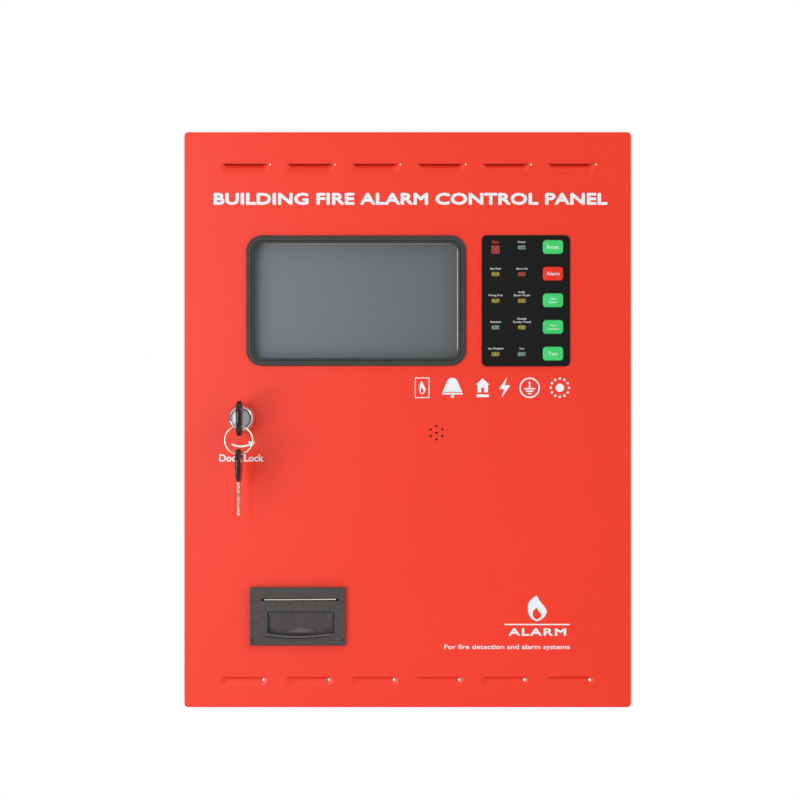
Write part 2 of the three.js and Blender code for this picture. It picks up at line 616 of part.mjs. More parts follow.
/** Split ring drawn as one round wire, facing along Y. */
function keyRing() {
  const geometry = new THREE.TorusGeometry(RING.radius, RING.wire, 6, 28);
  geometry.rotateX(Math.PI / 2);
  return solid(geometry);
}

// ---- panel printer ---------------------------------------------------------------------------
const LID_BACK = PROUD - PRINTER.flange - FIT;
const LID_FRONT = LID_BACK - LID.thick;
const PRINTER_BASE = PRINTER.z - PRINTER.height / 2;
const LID_TOP = PRINTER_BASE + LID.height;
const LID_AXIS = { y: LID_BACK - LID.thick / 2, z: PRINTER_BASE + LID.thick / 2 };
const BODY_X = PRINTER.width / 2 - PRINTER.border;
const BODY_Z = PRINTER.height / 2 - PRINTER.border;
const SLIT_X = PRINTER.x + SLIT.shift;
const PLATEN_AXIS = { y: LID_BACK + PLATEN.behindLid, z: PRINTER_BASE + PLATEN.z };
const ROLL = {
  y: PLATEN_AXIS.y + PLATEN.radius + ROLL_ROOM.front + PAPER.roll,
  z: PRINTER_BASE + PRINTER.border + PRINTER.wall + ROLL_ROOM.below + PAPER.roll,
};
const PRINTER_REAR = ROLL.y + PAPER.roll + ROLL_ROOM.back + PRINTER.wall;
const aroundPrinter = (halfX) => [PRINTER.x - halfX, PRINTER.x + halfX];
const printerSide = (side, near, far) => [PRINTER.x + side * near, PRINTER.x + side * far];

/** Case behind the door with its flange, a header above the lid and a lug for each lid peg. */
function printerHousing() {
  const halfX = PRINTER.width / 2;
  const [cavityX, cavityZ] = [BODY_X - PRINTER.wall, BODY_Z - PRINTER.wall];
  const header = LID_TOP + SLIT.height;
  const solidFront = [PROUD - PRINTER.flange / 2, LID_FRONT];
  const slitEnds = [-1, 1].map((side) => block(
    [SLIT_X + (side * SLIT.width) / 2, PRINTER.x + side * halfX], solidFront, [LID_TOP + FIT, header + FIT]));
  const lugs = [-1, 1].flatMap((side) => [
    block(printerSide(side, halfX - LID.notch, halfX), solidFront,
      [PRINTER_BASE, PRINTER_BASE + LID.notchHeight - 0.8]),
    rodX(LID.peg, LID_AXIS.y, LID_AXIS.z, printerSide(side, halfX - LID.notch - 3, halfX - 1), 12),
  ]);
  return join([
    cut(join([
      plate(roundedRect(PRINTER.x, PRINTER.z, PRINTER.width, PRINTER.height, 0.8),
        [PROUD, PROUD - PRINTER.flange], 2),
      block(aroundPrinter(halfX), solidFront, [header, PRINTER.z + PRINTER.height / 2]),
      block(aroundPrinter(BODY_X), [PROUD - PRINTER.flange / 2, PRINTER_REAR],
        [PRINTER.z - BODY_Z, PRINTER.z + BODY_Z]),
      ...slitEnds,
    ]), [
      block(aroundPrinter(cavityX), [PROUD, PRINTER_REAR - PRINTER.wall],
        [PRINTER.z - cavityZ, PRINTER.z + cavityZ]),
      block(aroundPrinter(cavityX), [PROUD + REACH, PROUD - PRINTER.flange - FIT / 2],
        [PRINTER.z - cavityZ, LID_TOP]),
      block([SLIT_X - SLIT.width / 2, SLIT_X + SLIT.width / 2], [PROUD + REACH, LID_FRONT - REACH],
        [LID_TOP - REACH, header]),
    ]),
    ...lugs,
  ]);
}

/** Drop-down lid with a finger recess over a curved lip, and two arms that carry the platen. */
function printerLid() {
  const halfX = PRINTER.width / 2;
  const gripX = PRINTER.x + GRIP.shift;
  const [left, right] = [gripX - GRIP.width / 2, gripX + GRIP.width / 2];
  const [top, ends] = [PRINTER_BASE + GRIP.top, PRINTER_BASE + GRIP.ends];
  const recess = new THREE.Shape();
  recess.moveTo(left, top);
  recess.lineTo(left, ends);
  recess.quadraticCurveTo(gripX, ends - 2 * GRIP.sag, right, ends);
  recess.lineTo(right, top);
  const lip = new THREE.Shape();
  lip.moveTo(left, ends);
  lip.lineTo(left, ends - GRIP.band);
  lip.quadraticCurveTo(gripX, ends - GRIP.band - 2 * GRIP.sag, right, ends - GRIP.band);
  lip.lineTo(right, ends);
  lip.quadraticCurveTo(gripX, ends - 2 * GRIP.sag, left, ends);
  const slope = bar([
    [LID_FRONT - REACH, top], [LID_FRONT + 0.6, top],
    [LID_FRONT + 4.2, ends - 2 * GRIP.sag], [LID_FRONT - REACH, ends - 2 * GRIP.sag],
  ], [left - 1, right + 1]);
  const arms = [-1, 1].map((side) => block(
    [SLIT_X + side * (PAPER.width / 2 + 0.8), SLIT_X + side * (PAPER.width / 2 + 2.6)],
    [LID_BACK - FIT, PLATEN_AXIS.y + 3], [PLATEN_AXIS.z - 3.8, PLATEN_AXIS.z + 3.1]));
  const notches = [-1, 1].map((side) => block(
    printerSide(side, halfX - LID.notch - FIT, halfX + REACH), [LID_BACK + REACH, LID_FRONT - REACH],
    [PRINTER_BASE - REACH, PRINTER_BASE + LID.notchHeight]));
  const pegHoles = [-1, 1].map((side) => rodX(LID.peg + FIT, LID_AXIS.y, LID_AXIS.z,
    printerSide(side, halfX - LID.notch - 3.4, halfX), 12));
  return cut(join([
    block(aroundPrinter(halfX), [LID_BACK, LID_FRONT], [LID_AXIS.z, LID_TOP]),
    rodX(LID.thick / 2, LID_AXIS.y, LID_AXIS.z, aroundPrinter(halfX), 16),
    block(aroundPrinter(LID.boss), [LID_BACK - FIT, PLATEN_AXIS.y - PLATEN.radius - FIT],
      [PRINTER_BASE + 7, LID_TOP - 2.4]),
    plate(lip, [LID_FRONT + FIT, LID_FRONT - GRIP.proud], 8),
    ...arms,
  ]), [
    slope.intersect(plate(recess, [LID_FRONT - REACH, LID_FRONT + 6], 8)),
    rodX(PLATEN.stub + FIT, PLATEN_AXIS.y, PLATEN_AXIS.z, aroundPrinter(halfX), 14),
    ...notches, ...pegHoles,
  ]);
}

/** Rubber platen with its two stub axles. */
const platenRoller = () => join([
  rodX(PLATEN.radius, PLATEN_AXIS.y, PLATEN_AXIS.z,
    [SLIT_X - PAPER.width / 2, SLIT_X + PAPER.width / 2]),
  rodX(PLATEN.stub, PLATEN_AXIS.y, PLATEN_AXIS.z,
    [SLIT_X - PAPER.width / 2 - 2.4, SLIT_X + PAPER.width / 2 + 2.4], 14),
]);

/** Roll of paper on its hollow core. */
const paperRoll = () => cut(
  rodX(PAPER.roll, ROLL.y, ROLL.z, [SLIT_X - PAPER.width / 2, SLIT_X + PAPER.width / 2], 32),
  [rodX(PAPER.core, ROLL.y, ROLL.z, [SLIT_X - PAPER.width, SLIT_X + PAPER.width], 20)]);

const STRIP_Z = LID_TOP + 0.8;

/** Paper running from the top of the roll over the platen and out through the slit. */
function paperStrip() {
  const path = [[LID_FRONT - 0.8, STRIP_Z], [PLATEN_AXIS.y + PLATEN.radius, STRIP_Z],
    [ROLL.y, ROLL.z + PAPER.roll + FIT]];
  const upper = path.map(([y, z]) => [y, z + PAPER.sheet]).reverse();
  return bar([...path, ...upper], [SLIT_X - PAPER.width / 2, SLIT_X + PAPER.width / 2]);
}

/** Thermal head under the top of the printer case. */
const printHead = () => block([SLIT_X - PAPER.width / 2, SLIT_X + PAPER.width / 2],
  [LID_BACK + 4.6, PLATEN_AXIS.y + PLATEN.radius], [STRIP_Z + PAPER.sheet + FIT, PRINTER.z + BODY_Z - PRINTER.wall - FIT]);

// ---- inside the box --------------------------------------------------------------------------
const BACK_INSIDE = -SHEET - FIT;
const CHASSIS_FRONT = -SHEET - CHASSIS.stand;
const STANDOFF = 5;
const BOARD_Y = CHASSIS_FRONT - STANDOFF - FIT;
const BOARD_FRONT = BOARD_Y - BOARD;
const MAIN = { x: [-140, 60], z: [-20, 220] };
const LOOP = { x: [72, 140], z: [30, 220] };

const inset = ([low, high], by) => [low + by, high - by];
const cornersOf = ({ x, z }) => inset(x, 8).flatMap((cx) => inset(z, 8).map((cz) => [cx, cz]));

/** Folded mounting plate with feet along both sides and a standoff under each board corner. */
function chassisPlate() {
  const { halfWidth, bottom, top, foot } = CHASSIS;
  const tall = [bottom, top];
  const sides = [-1, 1].flatMap((side) => [
    block([side * (halfWidth - SHEET), side * halfWidth], [CHASSIS_FRONT, BACK_INSIDE], tall),
    block([side * (halfWidth - SHEET), side * (halfWidth + foot)], [BACK_INSIDE - SHEET, BACK_INSIDE], tall),
  ]);
  const standoffs = [...cornersOf(MAIN), ...cornersOf(LOOP)].map(([x, z]) =>
    rodY(3.5, x, z, [CHASSIS_FRONT + FIT, CHASSIS_FRONT - STANDOFF], 6));
  return join([
    block([-halfWidth, halfWidth], [CHASSIS_FRONT, CHASSIS_FRONT + SHEET], tall), ...sides, ...standoffs,
  ]);
}

/** A block standing `high` millimetres off a board, `width` by `height`, centred at (x, z). */
const chip = (x, z, width, height, high) => block([x - width / 2, x + width / 2],
  [BOARD_FRONT + FIT, BOARD_FRONT - high], [z - height / 2, z + height / 2]);

/** Main control board: processor, relays, capacitors, a finned heat sink and ribbon sockets. */
function mainBoard() {
  const relays = Array.from({ length: 6 }, (_, index) => chip(-112 + index * 30, 178, 20, 15, 15));
  const capacitors = [0, 1, 2].map((index) =>
    rodY(7, -118 + index * 18, 14, [BOARD_FRONT + FIT, BOARD_FRONT - 22], 16));
  const sinkZ = [0, 44];
  const fins = [0, 1, 2, 3, 4].map((index) => block([-48 + index * 6, -46 + index * 6],
    [BOARD_FRONT - 3, BOARD_FRONT - 20], sinkZ));
  return join([
    block(MAIN.x, [BOARD_Y, BOARD_FRONT], MAIN.z),
    block([-50, -20], [BOARD_FRONT + FIT, BOARD_FRONT - 3.5], sinkZ),
    ...fins, ...relays, ...capacitors,
    chip(-70, 110, 28, 28, 2.2),
    chip(-20, 116, 20, 14, 2.2),
    chip(-20, 88, 20, 14, 2.2),
    chip(26, 104, 14, 20, 2.2),
    chip(-118, 104, 12, 44, 9),
    chip(28, 60, 40, 9, 9),
    chip(28, 40, 40, 9, 9),
    chip(20, 0, 46, 10, 11),
    rodY(10.5, -84, 66, [BOARD_FRONT + FIT, BOARD_FRONT - 4.5], 24),
  ]);
}

/** Loop card: two drivers, a row of isolators and its own plug-in terminals. */
function loopCard() {
  const x = (LOOP.x[0] + LOOP.x[1]) / 2;
  const isolators = [0, 1, 2, 3].map((index) => chip(x - 21 + index * 14, 150, 9, 18, 8));
  return join([
    block(LOOP.x, [BOARD_Y, BOARD_FRONT], LOOP.z),
    ...isolators,
    chip(x, 205, 52, 12, 13),
    chip(x, 110, 22, 22, 2.2),
    chip(x - 14, 72, 14, 20, 6),
    chip(x + 14, 72, 14, 20, 6),
    chip(x, 44, 36, 8, 9),
  ]);
}

/** Row of screw terminals, each way with a wire entry in front of a screw well. */
function terminalRow({ x, z, ways, pitch, high, back }) {
  const wide = ways * pitch;
  const wells = Array.from({ length: ways }, (_, index) => {
    const wx = x - wide / 2 + (index + 0.5) * pitch;
    return [
      rodY(pitch * 0.28, wx, z - 2.5, [back - high + 4, back - high - 1], 6),
      block([wx - pitch * 0.3, wx + pitch * 0.3], [back - high + 9, back - high + 4.5], [z + 2, z + 9]),
    ];
  }).flat();
  return cut(join([
    block([x - wide / 2, x + wide / 2], [back, back - high], [z - 7, z + 4]),
    block([x - wide / 2, x + wide / 2], [back, back - high + 3], [z - 7, z + 7]),
  ]), wells);
}

/** Mains fuse carrier with a bayonet cap. */
function fuseHolder() {
  const [x, z] = [-50, -115];
  return join([
    block([x - 16, x + 16], [CHASSIS_FRONT - FIT, CHASSIS_FRONT - 12], [z - 8, z + 8]),
    rodY(7, x, z, [CHASSIS_FRONT - 11, CHASSIS_FRONT - 26], 20),
    rodY(8, x, z, [CHASSIS_FRONT - 26 + FIT, CHASSIS_FRONT - 30], 20),
  ]);
}

/** Earth stud on the back of the box with a washer and two nuts. */
function earthStud() {
  const [x, z] = [-170, -120];
  return join([
    rodY(3, x, z, [BACK_INSIDE, BACK_INSIDE - 20], 12),
    rodY(7, x, z, [BACK_INSIDE, BACK_INSIDE - 1.4], 20),
    rodY(5.6, x, z, [BACK_INSIDE - 1.2, BACK_INSIDE - 6], 6),
    rodY(5.6, x, z, [BACK_INSIDE - 10, BACK_INSIDE - 15], 6),
  ]);
}

/** Power supply in a vented case with its terminals along the bottom. */
function powerSupply() {
  const [x, z, high] = [[25, 140], [-130, -45], 42];
  const front = CHASSIS_FRONT - FIT - high;
  const vents = [0, 1].flatMap((row) => Array.from({ length: 9 }, (_, index) => block(
    [x[0] + 12 + index * 11, x[0] + 16 + index * 11], [front + 2, front - 1],
    [z[0] + 28 + row * 28, z[0] + 50 + row * 28])));
  return cut(block(x, [CHASSIS_FRONT - FIT, front], z), [
    ...vents,
    block([x[0] - 1, x[1] + 1], [front - 1, front + 22], [z[0] - 1, z[0] + 16]),
    ...Array.from({ length: 7 }, (_, index) => rodY(3, x[0] + 14 + index * 14.5, z[0] + 8,
      [front + 21, front + 25], 8)),
  ]);
}

const FLOOR = -BOX_Z + SHEET + FIT;
const BATTERY_BACK = BACK_INSIDE - 1.2;

/** Sealed lead-acid battery with a stepped lid and two blade tabs. */
function battery(side) {
  const { width, depth, height, tab } = BATTERY;
  const [near, far] = [2 * side, side * (2 + width)];
  const top = FLOOR + height;
  const tabs = [0.16, 0.84].map((share) => {
    const x = near + (far - near) * share;
    return block([x - 3.2, x + 3.2], [BATTERY_BACK - 10, BATTERY_BACK - 10.8], [top - 1, top + tab]);
  });
  return join([
    block([near, far], [BATTERY_BACK, BATTERY_BACK - depth], [FLOOR, top - 9]),
    block([near + side, far - side], [BATTERY_BACK - 1, BATTERY_BACK - depth + 1], [FLOOR + 5, top]),
    ...tabs,
  ]);
}

/** Strap across both batteries with a foot on the back of the box at each end. */
function batteryBracket() {
  const z = [FLOOR + 40, FLOOR + 60];
  const half = 2 + BATTERY.width + 3;
  const front = BATTERY_BACK - BATTERY.depth - FIT;
  const ends = [-1, 1].flatMap((side) => [
    block([side * half, side * (half + SHEET)], [BACK_INSIDE, front - SHEET], z),
    block([side * half, side * (half + 12)], [BACK_INSIDE, BACK_INSIDE - SHEET], z),
  ]);
  return join([block([-half - SHEET, half + SHEET], [front, front - SHEET], z), ...ends]);
}

// ---- assembly --------------------------------------------------------------------------------
const LEFT_LAMPS = ['fire', 'general_fault', 'system_fault', 'supervisor', 'general_disable'];
const RIGHT_LAMPS = ['power', 'evacuate', 'buzzer_silence', 'sounder_silence', 'test'];
const BUTTONS = ['reset', 'evacuate', 'buzzer_silence', 'sounder_silence', 'test'];
const LAMP_COLOURS = {
  fire: 0xe23b25, general_fault: 0xe8c93c, system_fault: 0xe8c93c, supervisor: 0x5fd07a,
  general_disable: 0xe8c93c, power: 0x5fd07a, evacuate: 0xe23b25, buzzer_silence: 0xe8c93c,
  sounder_silence: 0xe8c93c, test: 0x5fd07a,
};

const box = new THREE.Group();
box.add(piece('back_box', backBox(), redPowderCoat));
[-1, 1].forEach((step, index) =>
  box.add(piece(`cable_grommet_${index + 1}`, cableGrommet(step), blackRubber)));
for (const [end, z] of [['upper', HINGE.at], ['lower', -HINGE.at]]) {
  box.add(piece(`hinge_box_leaf_${end}`, boxLeaf(z), zincPlate));
  box.add(piece(`hinge_pin_${end}`, hingePin(z), zincPlate));
}
box.add(
  piece('chassis_plate', chassisPlate(), zincPlate),
  piece('main_board', mainBoard(), greenBoard),
  piece('loop_card', loopCard(), greenBoard),
  piece('field_terminals', terminalRow(
    { x: -40, z: 208, ways: 18, pitch: 10, high: 16, back: BOARD_FRONT - FIT }), greenTerminal),
  piece('mains_terminals', terminalRow(
    { x: -107, z: -115, ways: 4, pitch: 13, high: 22, back: CHASSIS_FRONT - FIT }), blackPlastic),
  piece('mains_fuse_holder', fuseHolder(), blackPlastic),
  piece('earth_stud', earthStud(), zincPlate),
  piece('power_supply', powerSupply(), zincPlate),
  piece('battery_left', battery(-1), batteryCase),
  piece('battery_right', battery(1), batteryCase),
  piece('battery_bracket', batteryBracket(), zincPlate),
);

const door = new THREE.Group();
door.add(piece('door_shell', doorShell(), redPowderCoat));
for (const [end, z] of [['upper', HINGE.at], ['lower', -HINGE.at]]) {
  door.add(piece(`hinge_door_leaf_${end}`, doorLeaf(z), zincPlate));
}
door.add(
  piece('window_gasket', windowGasket(), blackRubber),
  piece('touch_lens', touchLens(), screenGlass),
  piece('display_module', displayModule(), zincPlate),
  piece('display_bracket', displayBracket(), zincPlate),
  piece('keypad_overlay', keypadOverlay(), overlayFilm),
  piece('keypad_board', keypadBoard(), greenBoard),
  piece('sounder', sounder(), blackPlastic),
  piece('lock_housing', lockHousing(), chrome),
  piece('lock_nut', lockNut(), zincPlate),
  piece('lock_plug', lockPlug(), chrome),
  piece('lock_cam', lockCam(), zincPlate),
  piece('cam_screw', camScrew(), zincPlate),
);
BUTTONS.forEach((use, row) => {
  const colour = { reset: 0x42d975, evacuate: 0xf5320f }[use] ?? 0x42d975;
  const cap = piece(`button_${use}`, buttonCap(), finish(colour, 0.4, 0));
  cap.position.set(BUTTON.x, 0, rowZ(row));
  door.add(cap);
});
[...LEFT_LAMPS, ...RIGHT_LAMPS].forEach((use, index) => {
  const lamp = piece(`indicator_${use}`, indicator(lamps[index]), finish(LAMP_COLOURS[use], 0.3, 0));
  lamp.position.set(lamps[index].x, 0, lamps[index].z);
  door.add(lamp);
});

const printer = new THREE.Group();
printer.add(
  piece('printer_housing', printerHousing(), charcoalPlastic),
  piece('printer_lid', printerLid(), charcoalPlastic),
  piece('platen_roller', platenRoller(), blackRubber),
  piece('paper_roll', paperRoll(), paperWhite),
  piece('paper_strip', paperStrip(), paperWhite),
  piece('print_head', printHead(), zincPlate),
);
door.add(printer);

// the key in the lock, the ring through its eye and the spare key hanging from the ring
const KEY_Y = PLUG_FACE - 0.8;
const RING_TOP = LOCK.z - KEY_EYE.long / 2 + RING.wire + RING.hang;
const SPARE_EYE = RING_TOP - 2 * RING.radius + RING.wire + RING.hang - KEY_EYE.wide / 2;

function keyPair(suffix) {
  const key = new THREE.Group();
  key.add(piece(`key_bow_${suffix}`, keyBow(), blackPlastic));
  key.add(piece(`key_blade_${suffix}`, keyBlade(), nickelSilver));
  return key;
}

const keyInLock = keyPair('in_lock');
keyInLock.position.set(LOCK.x, KEY_Y, LOCK.z);
const spareKey = keyPair('spare');
spareKey.rotation.x = -Math.PI / 2;
spareKey.position.set(LOCK.x, KEY_Y + EYE_Y, SPARE_EYE + EYE_Y);
const ring = piece('key_ring', keyRing(), nickelSilver);
ring.position.set(LOCK.x, KEY_Y + EYE_Y, RING_TOP - RING.radius);
door.add(keyInLock, spareKey, ring);

const panel = new THREE.Group();
panel.add(box, door);

export default panel;
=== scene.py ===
"""Looks of a wall-mounted fire alarm control panel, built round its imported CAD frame. Metres."""
import json
import math

import bmesh
import bpy
import mathutils
import numpy as np
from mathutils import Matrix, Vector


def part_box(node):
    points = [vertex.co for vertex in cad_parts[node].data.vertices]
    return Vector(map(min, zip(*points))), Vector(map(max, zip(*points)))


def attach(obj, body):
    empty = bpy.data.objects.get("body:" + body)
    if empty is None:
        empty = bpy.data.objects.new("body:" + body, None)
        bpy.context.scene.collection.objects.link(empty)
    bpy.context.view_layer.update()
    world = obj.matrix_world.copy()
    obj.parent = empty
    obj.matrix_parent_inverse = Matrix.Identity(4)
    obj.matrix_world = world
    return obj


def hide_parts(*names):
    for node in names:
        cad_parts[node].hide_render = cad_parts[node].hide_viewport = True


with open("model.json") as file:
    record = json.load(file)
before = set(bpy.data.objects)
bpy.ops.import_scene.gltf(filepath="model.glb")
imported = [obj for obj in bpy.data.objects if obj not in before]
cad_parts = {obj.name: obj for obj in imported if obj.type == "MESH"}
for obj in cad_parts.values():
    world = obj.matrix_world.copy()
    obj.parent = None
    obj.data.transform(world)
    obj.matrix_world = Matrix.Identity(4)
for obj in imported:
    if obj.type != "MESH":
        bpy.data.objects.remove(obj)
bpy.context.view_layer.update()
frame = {"nodes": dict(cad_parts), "record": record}
scene = bpy.context.scene
MM = 0.001


# ---- colours and materials -----------------------------------------------------------------------
def linear(code):
    """An sRGB hex colour as linear RGBA."""
    values = np.array([int(code[i:i + 2], 16) for i in (1, 3, 5)]) / 255
    values = np.where(values <= 0.04045, values / 12.92, ((values + 0.055) / 1.055) ** 2.4)
    return (*values.tolist(), 1.0)


def add(tree, kind, inputs=None, **settings):
    """Adds a node. inputs gives each socket a value, or another node's output to be linked to."""
    node = tree.nodes.new(kind)
    for key, value in settings.items():
        setattr(node, key, value)
    for key, value in (inputs or {}).items():
        if isinstance(value, bpy.types.NodeSocket):
            tree.links.new(value, node.inputs[key])
        else:
            node.inputs[key].default_value = value
    return node


def blank(name):
    """An empty material tree with its shader."""
    made = bpy.data.materials.new(name)
    made.use_nodes = True
    tree = made.node_tree
    shader = tree.nodes["Principled BSDF"]
    return made, tree, shader


def finish(name, light, dark, roughness, grain, relief=0.0, drift=60.0, stretch=(1, 1, 1), **sockets):
    """A worked surface. Its colour drifts from light to dark over `drift` mm, and a grain of `grain`
    mm takes its roughness over the given pair of values and its height over `relief` mm. sockets
    sets further inputs of the shader, with _ for each space in their names."""
    made, tree, shader = blank(name)
    place = add(tree, "ShaderNodeTexCoord").outputs["Object"]
    turned_place = add(tree, "ShaderNodeMapping", {"Vector": place, "Scale": stretch}).outputs[0]
    slow = add(tree, "ShaderNodeTexNoise", {"Vector": place, "Scale": 1 / (drift * MM), "Detail": 3.0})
    fine = add(tree, "ShaderNodeTexNoise",
               {"Vector": turned_place, "Scale": 1 / (grain * MM), "Detail": 4.0, "Roughness": 0.6})
    ramp = add(tree, "ShaderNodeValToRGB", {"Fac": slow.outputs["Fac"]})
    ramp.color_ramp.elements[0].position, ramp.color_ramp.elements[1].position = 0.3, 0.7
    ramp.color_ramp.elements[0].color, ramp.color_ramp.elements[1].color = linear(light), linear(dark)
    tree.links.new(ramp.outputs["Color"], shader.inputs["Base Color"])
    rough = add(tree, "ShaderNodeMapRange",
                {"Value": fine.outputs["Fac"], "From Min": 0.3, "From Max": 0.7,
                 "To Min": roughness[0], "To Max": roughness[1]})
    tree.links.new(rough.outputs[0], shader.inputs["Roughness"])
    if relief:
        bump = add(tree, "ShaderNodeBump", {"Height": fine.outputs["Fac"], "Distance": relief * MM})
        tree.links.new(bump.outputs[0], shader.inputs["Normal"])
    for key, value in sockets.items():
        shader.inputs[key.replace("_", " ")].default_value = value
    return made


# Polyester powder coat, stoved: a satin skin whose orange peel breaks up reflections.
RED_COAT = finish("red_powder_coat", "#f73820", "#f3361e", (0.34, 0.46), 1.6, 0.02, 180)
# Bright zinc plate: pale and slightly blue, with a soft grain from the rolled steel below it.
ZINC = finish("zinc_plate", "#c3c7cc", "#aeb3b8", (0.28, 0.45), 0.8, 0.004, 12, Metallic=1.0)
# Galvanised sheet: its spangle makes patches of lighter and darker grey some 8 mm across.
GALVANISED = finish("galvanised_sheet", "#b8bcbe", "#93989b", (0.35, 0.55), 3.0, 0.004, 8, Metallic=1.0)
# Pressed aluminium, brushed along its length before folding.
ALUMINIUM = finish("brushed_aluminium", "#c9cccf", "#b3b6b9", (0.3, 0.45), 0.5, 0.004, 30, (0.04, 1, 1),
                   Metallic=1.0)
# Bright near-white metal for a small bead at the right end of each louvre's lance: a painted glint, the hard
# white highlight of the light on the dish's rim.
GLINT_METAL = finish("painted_glint_metal", "#f4f5f6", "#e6e8ea", (0.2, 0.32), 0.3, 0.0, 2, Metallic=0.7)
# Chrome over polished die-cast zinc: a mirror with faint handling scratches.
CHROME = finish("polished_chrome", "#e6e8ea", "#d6d9dc", (0.05, 0.12), 0.6, 0.0, 10, Metallic=1.0)
# The same chrome on the lock's flat face, wheel-brushed and so duller.
LOCK_FACE = finish("brushed_lock_face", "#f6f7f8", "#e2e4e6", (0.38, 0.5), 0.35, 0.006, 6, (0.15, 1, 1),
                   Metallic=0.35)
# Nickel plate on brass: warmer than chrome, worn to a soft shine.
NICKEL = finish("worn_nickel_plate", "#efead8", "#d5cfba", (0.16, 0.32), 0.5, 0.004, 5, Metallic=1.0)
# Turned brass, dulled by handling.
BRASS = finish("turned_brass", "#d2ac55", "#a98339", (0.25, 0.4), 0.5, 0.004, 6, Metallic=1.0)
# Extruded rubber: charcoal, dull, with a faint pull along the extrusion.
RUBBER = finish("extruded_rubber", "#363837", "#2d2f2e", (0.5, 0.68), 0.7, 0.02, 20)
# Moulded black plastic with a fine spark texture.
BLACK_ABS = finish("black_moulded_plastic", "#232425", "#1a1b1c", (0.42, 0.58), 0.6, 0.02, 25)
# Glossy moulded nylon of the key bows, rubbed smooth in a pocket.
KEY_NYLON = finish("rubbed_black_nylon", "#1c1d1f", "#131416", (0.12, 0.24), 1.4, 0.01, 8)
# The same plastic polished by fingers, smoother so that it catches a light, and lighter in colour as painted
# light on the nail wedge's facets and the top of the recess's lip.
POLISHED_LIT_ABS = finish("polished_abs_painted_light", "#5f5b5a", "#524e4d", (0.22, 0.34), 0.7, 0.01, 4)
# Spark-eroded charcoal ABS: coarse enough to sparkle in grazing light.
PRINTER_ABS = finish("spark_textured_abs", "#4b4846", "#302d2c", (0.46, 0.66), 0.7, 0.09, 1.0)
# The same charcoal, near black and dead matt: painted shade, for the line of shadow round the finger recess
# and the dark band under its lip.
SHADE_ABS = finish("painted_shade_abs", "#141312", "#0e0d0d", (0.8, 0.95), 0.5, 0.01, 8,
                    Specular_IOR_Level=0.1)
# Polyester film, printed black on its back: satin, very even.
FILM = finish("printed_film", "#141514", "#111211", (0.26, 0.34), 0.5, 0.003, 30, Specular_IOR_Level=0.3)
# Thermal paper, smooth and a little warm.
PAPER = finish("thermal_paper", "#f3eedd", "#ebe5d0", (0.7, 0.85), 0.5, 0.01, 15)
# Grey moulded ABS of a sealed battery.
BATTERY_ABS = finish("battery_case_abs", "#565b62", "#4b5057", (0.45, 0.6), 0.8, 0.03, 30)
# Green polyamide of plug-in terminals.
TERMINAL_GREEN = finish("green_polyamide", "#2f9a55", "#288549", (0.4, 0.55), 0.7, 0.02, 12)
# Pale moulded nylon of sockets.
SOCKET_NYLON = finish("natural_nylon", "#e6e0cd", "#d8d1bb", (0.4, 0.55), 0.6, 0.01, 10)
# Epoxy body of chips: near black with a dull moulded face.
EPOXY = finish("moulded_epoxy", "#26282a", "#1d1f21", (0.45, 0.6), 0.4, 0.01, 8)
# Blue housing of sealed relays.
RELAY_BLUE = finish("relay_housing", "#2f6fb0", "#285f98", (0.3, 0.42), 0.7, 0.008, 12)
# Screen-printed white ink: matt and slightly uneven.
WHITE_INK = finish("white_screen_ink", "#f3f5f8", "#eaedf1", (0.5, 0.62), 0.6, 0.004, 20)
# Red ink of the fire label.
RED_INK = finish("red_screen_ink", "#f2402c", "#e93b28", (0.5, 0.62), 0.6, 0.004, 20)
# Silicone-coated keys: dense colour with a soft sheen.
GREEN_KEY = finish("green_key_coating", "#3fd873", "#38cc6a", (0.34, 0.46), 0.8, 0.012, 12)
RED_KEY = finish("red_key_coating", "#ee2e12", "#e2280e", (0.34, 0.46), 0.8, 0.012, 12)
# Pale cream foam tape round the display glass.
TAPE = finish("foam_tape", "#e9e2c4", "#dcd3b0", (0.7, 0.85), 0.6, 0.03, 10)


def window_plastic(name, light, dark):
    """A translucent coloured window: light scatters a little below a glossy face."""
    return finish(name, light, dark, (0.15, 0.25), 0.6, 0.004, 1.6, Subsurface_Weight=0.2,
                  Subsurface_Radius=(0.002, 0.001, 0.0008))


RED_WINDOW = window_plastic("red_window", "#c0554c", "#6e2a26")
YELLOW_WINDOW = window_plastic("yellow_window", "#b5a54f", "#6f622b")
GREEN_WINDOW = window_plastic("green_window", "#86a894", "#3f6350")


def screen_material():
    """Etched touch glass over a dark display: grey, lighter and a little bluer to the left as painted light
    from that side, with a soft gloss.
    """
    made, tree, shader = blank("etched_touch_glass")
    low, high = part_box("touch_lens")
    place = add(tree, "ShaderNodeTexCoord").outputs["Object"]
    across = add(tree, "ShaderNodeSeparateXYZ", {"Vector": place}).outputs["X"]
    # the ramp from left to right along X is painted light
    share = add(tree, "ShaderNodeMapRange", {"Value": across, "From Min": low[0], "From Max": high[0]})
    ramp = add(tree, "ShaderNodeValToRGB", {"Fac": share.outputs[0]})
    ramp.color_ramp.elements[0].color = linear("#72777d")
    ramp.color_ramp.elements[1].color = linear("#646869")
    grit = add(tree, "ShaderNodeTexNoise", {"Vector": place, "Scale": 1 / (0.5 * MM), "Detail": 2.0})
    bump = add(tree, "ShaderNodeBump", {"Height": grit.outputs["Fac"], "Distance": 0.004 * MM})
    tree.links.new(ramp.outputs["Color"], shader.inputs["Base Color"])
    tree.links.new(bump.outputs[0], shader.inputs["Normal"])
    shader.inputs["Roughness"].default_value = 0.42
    return made


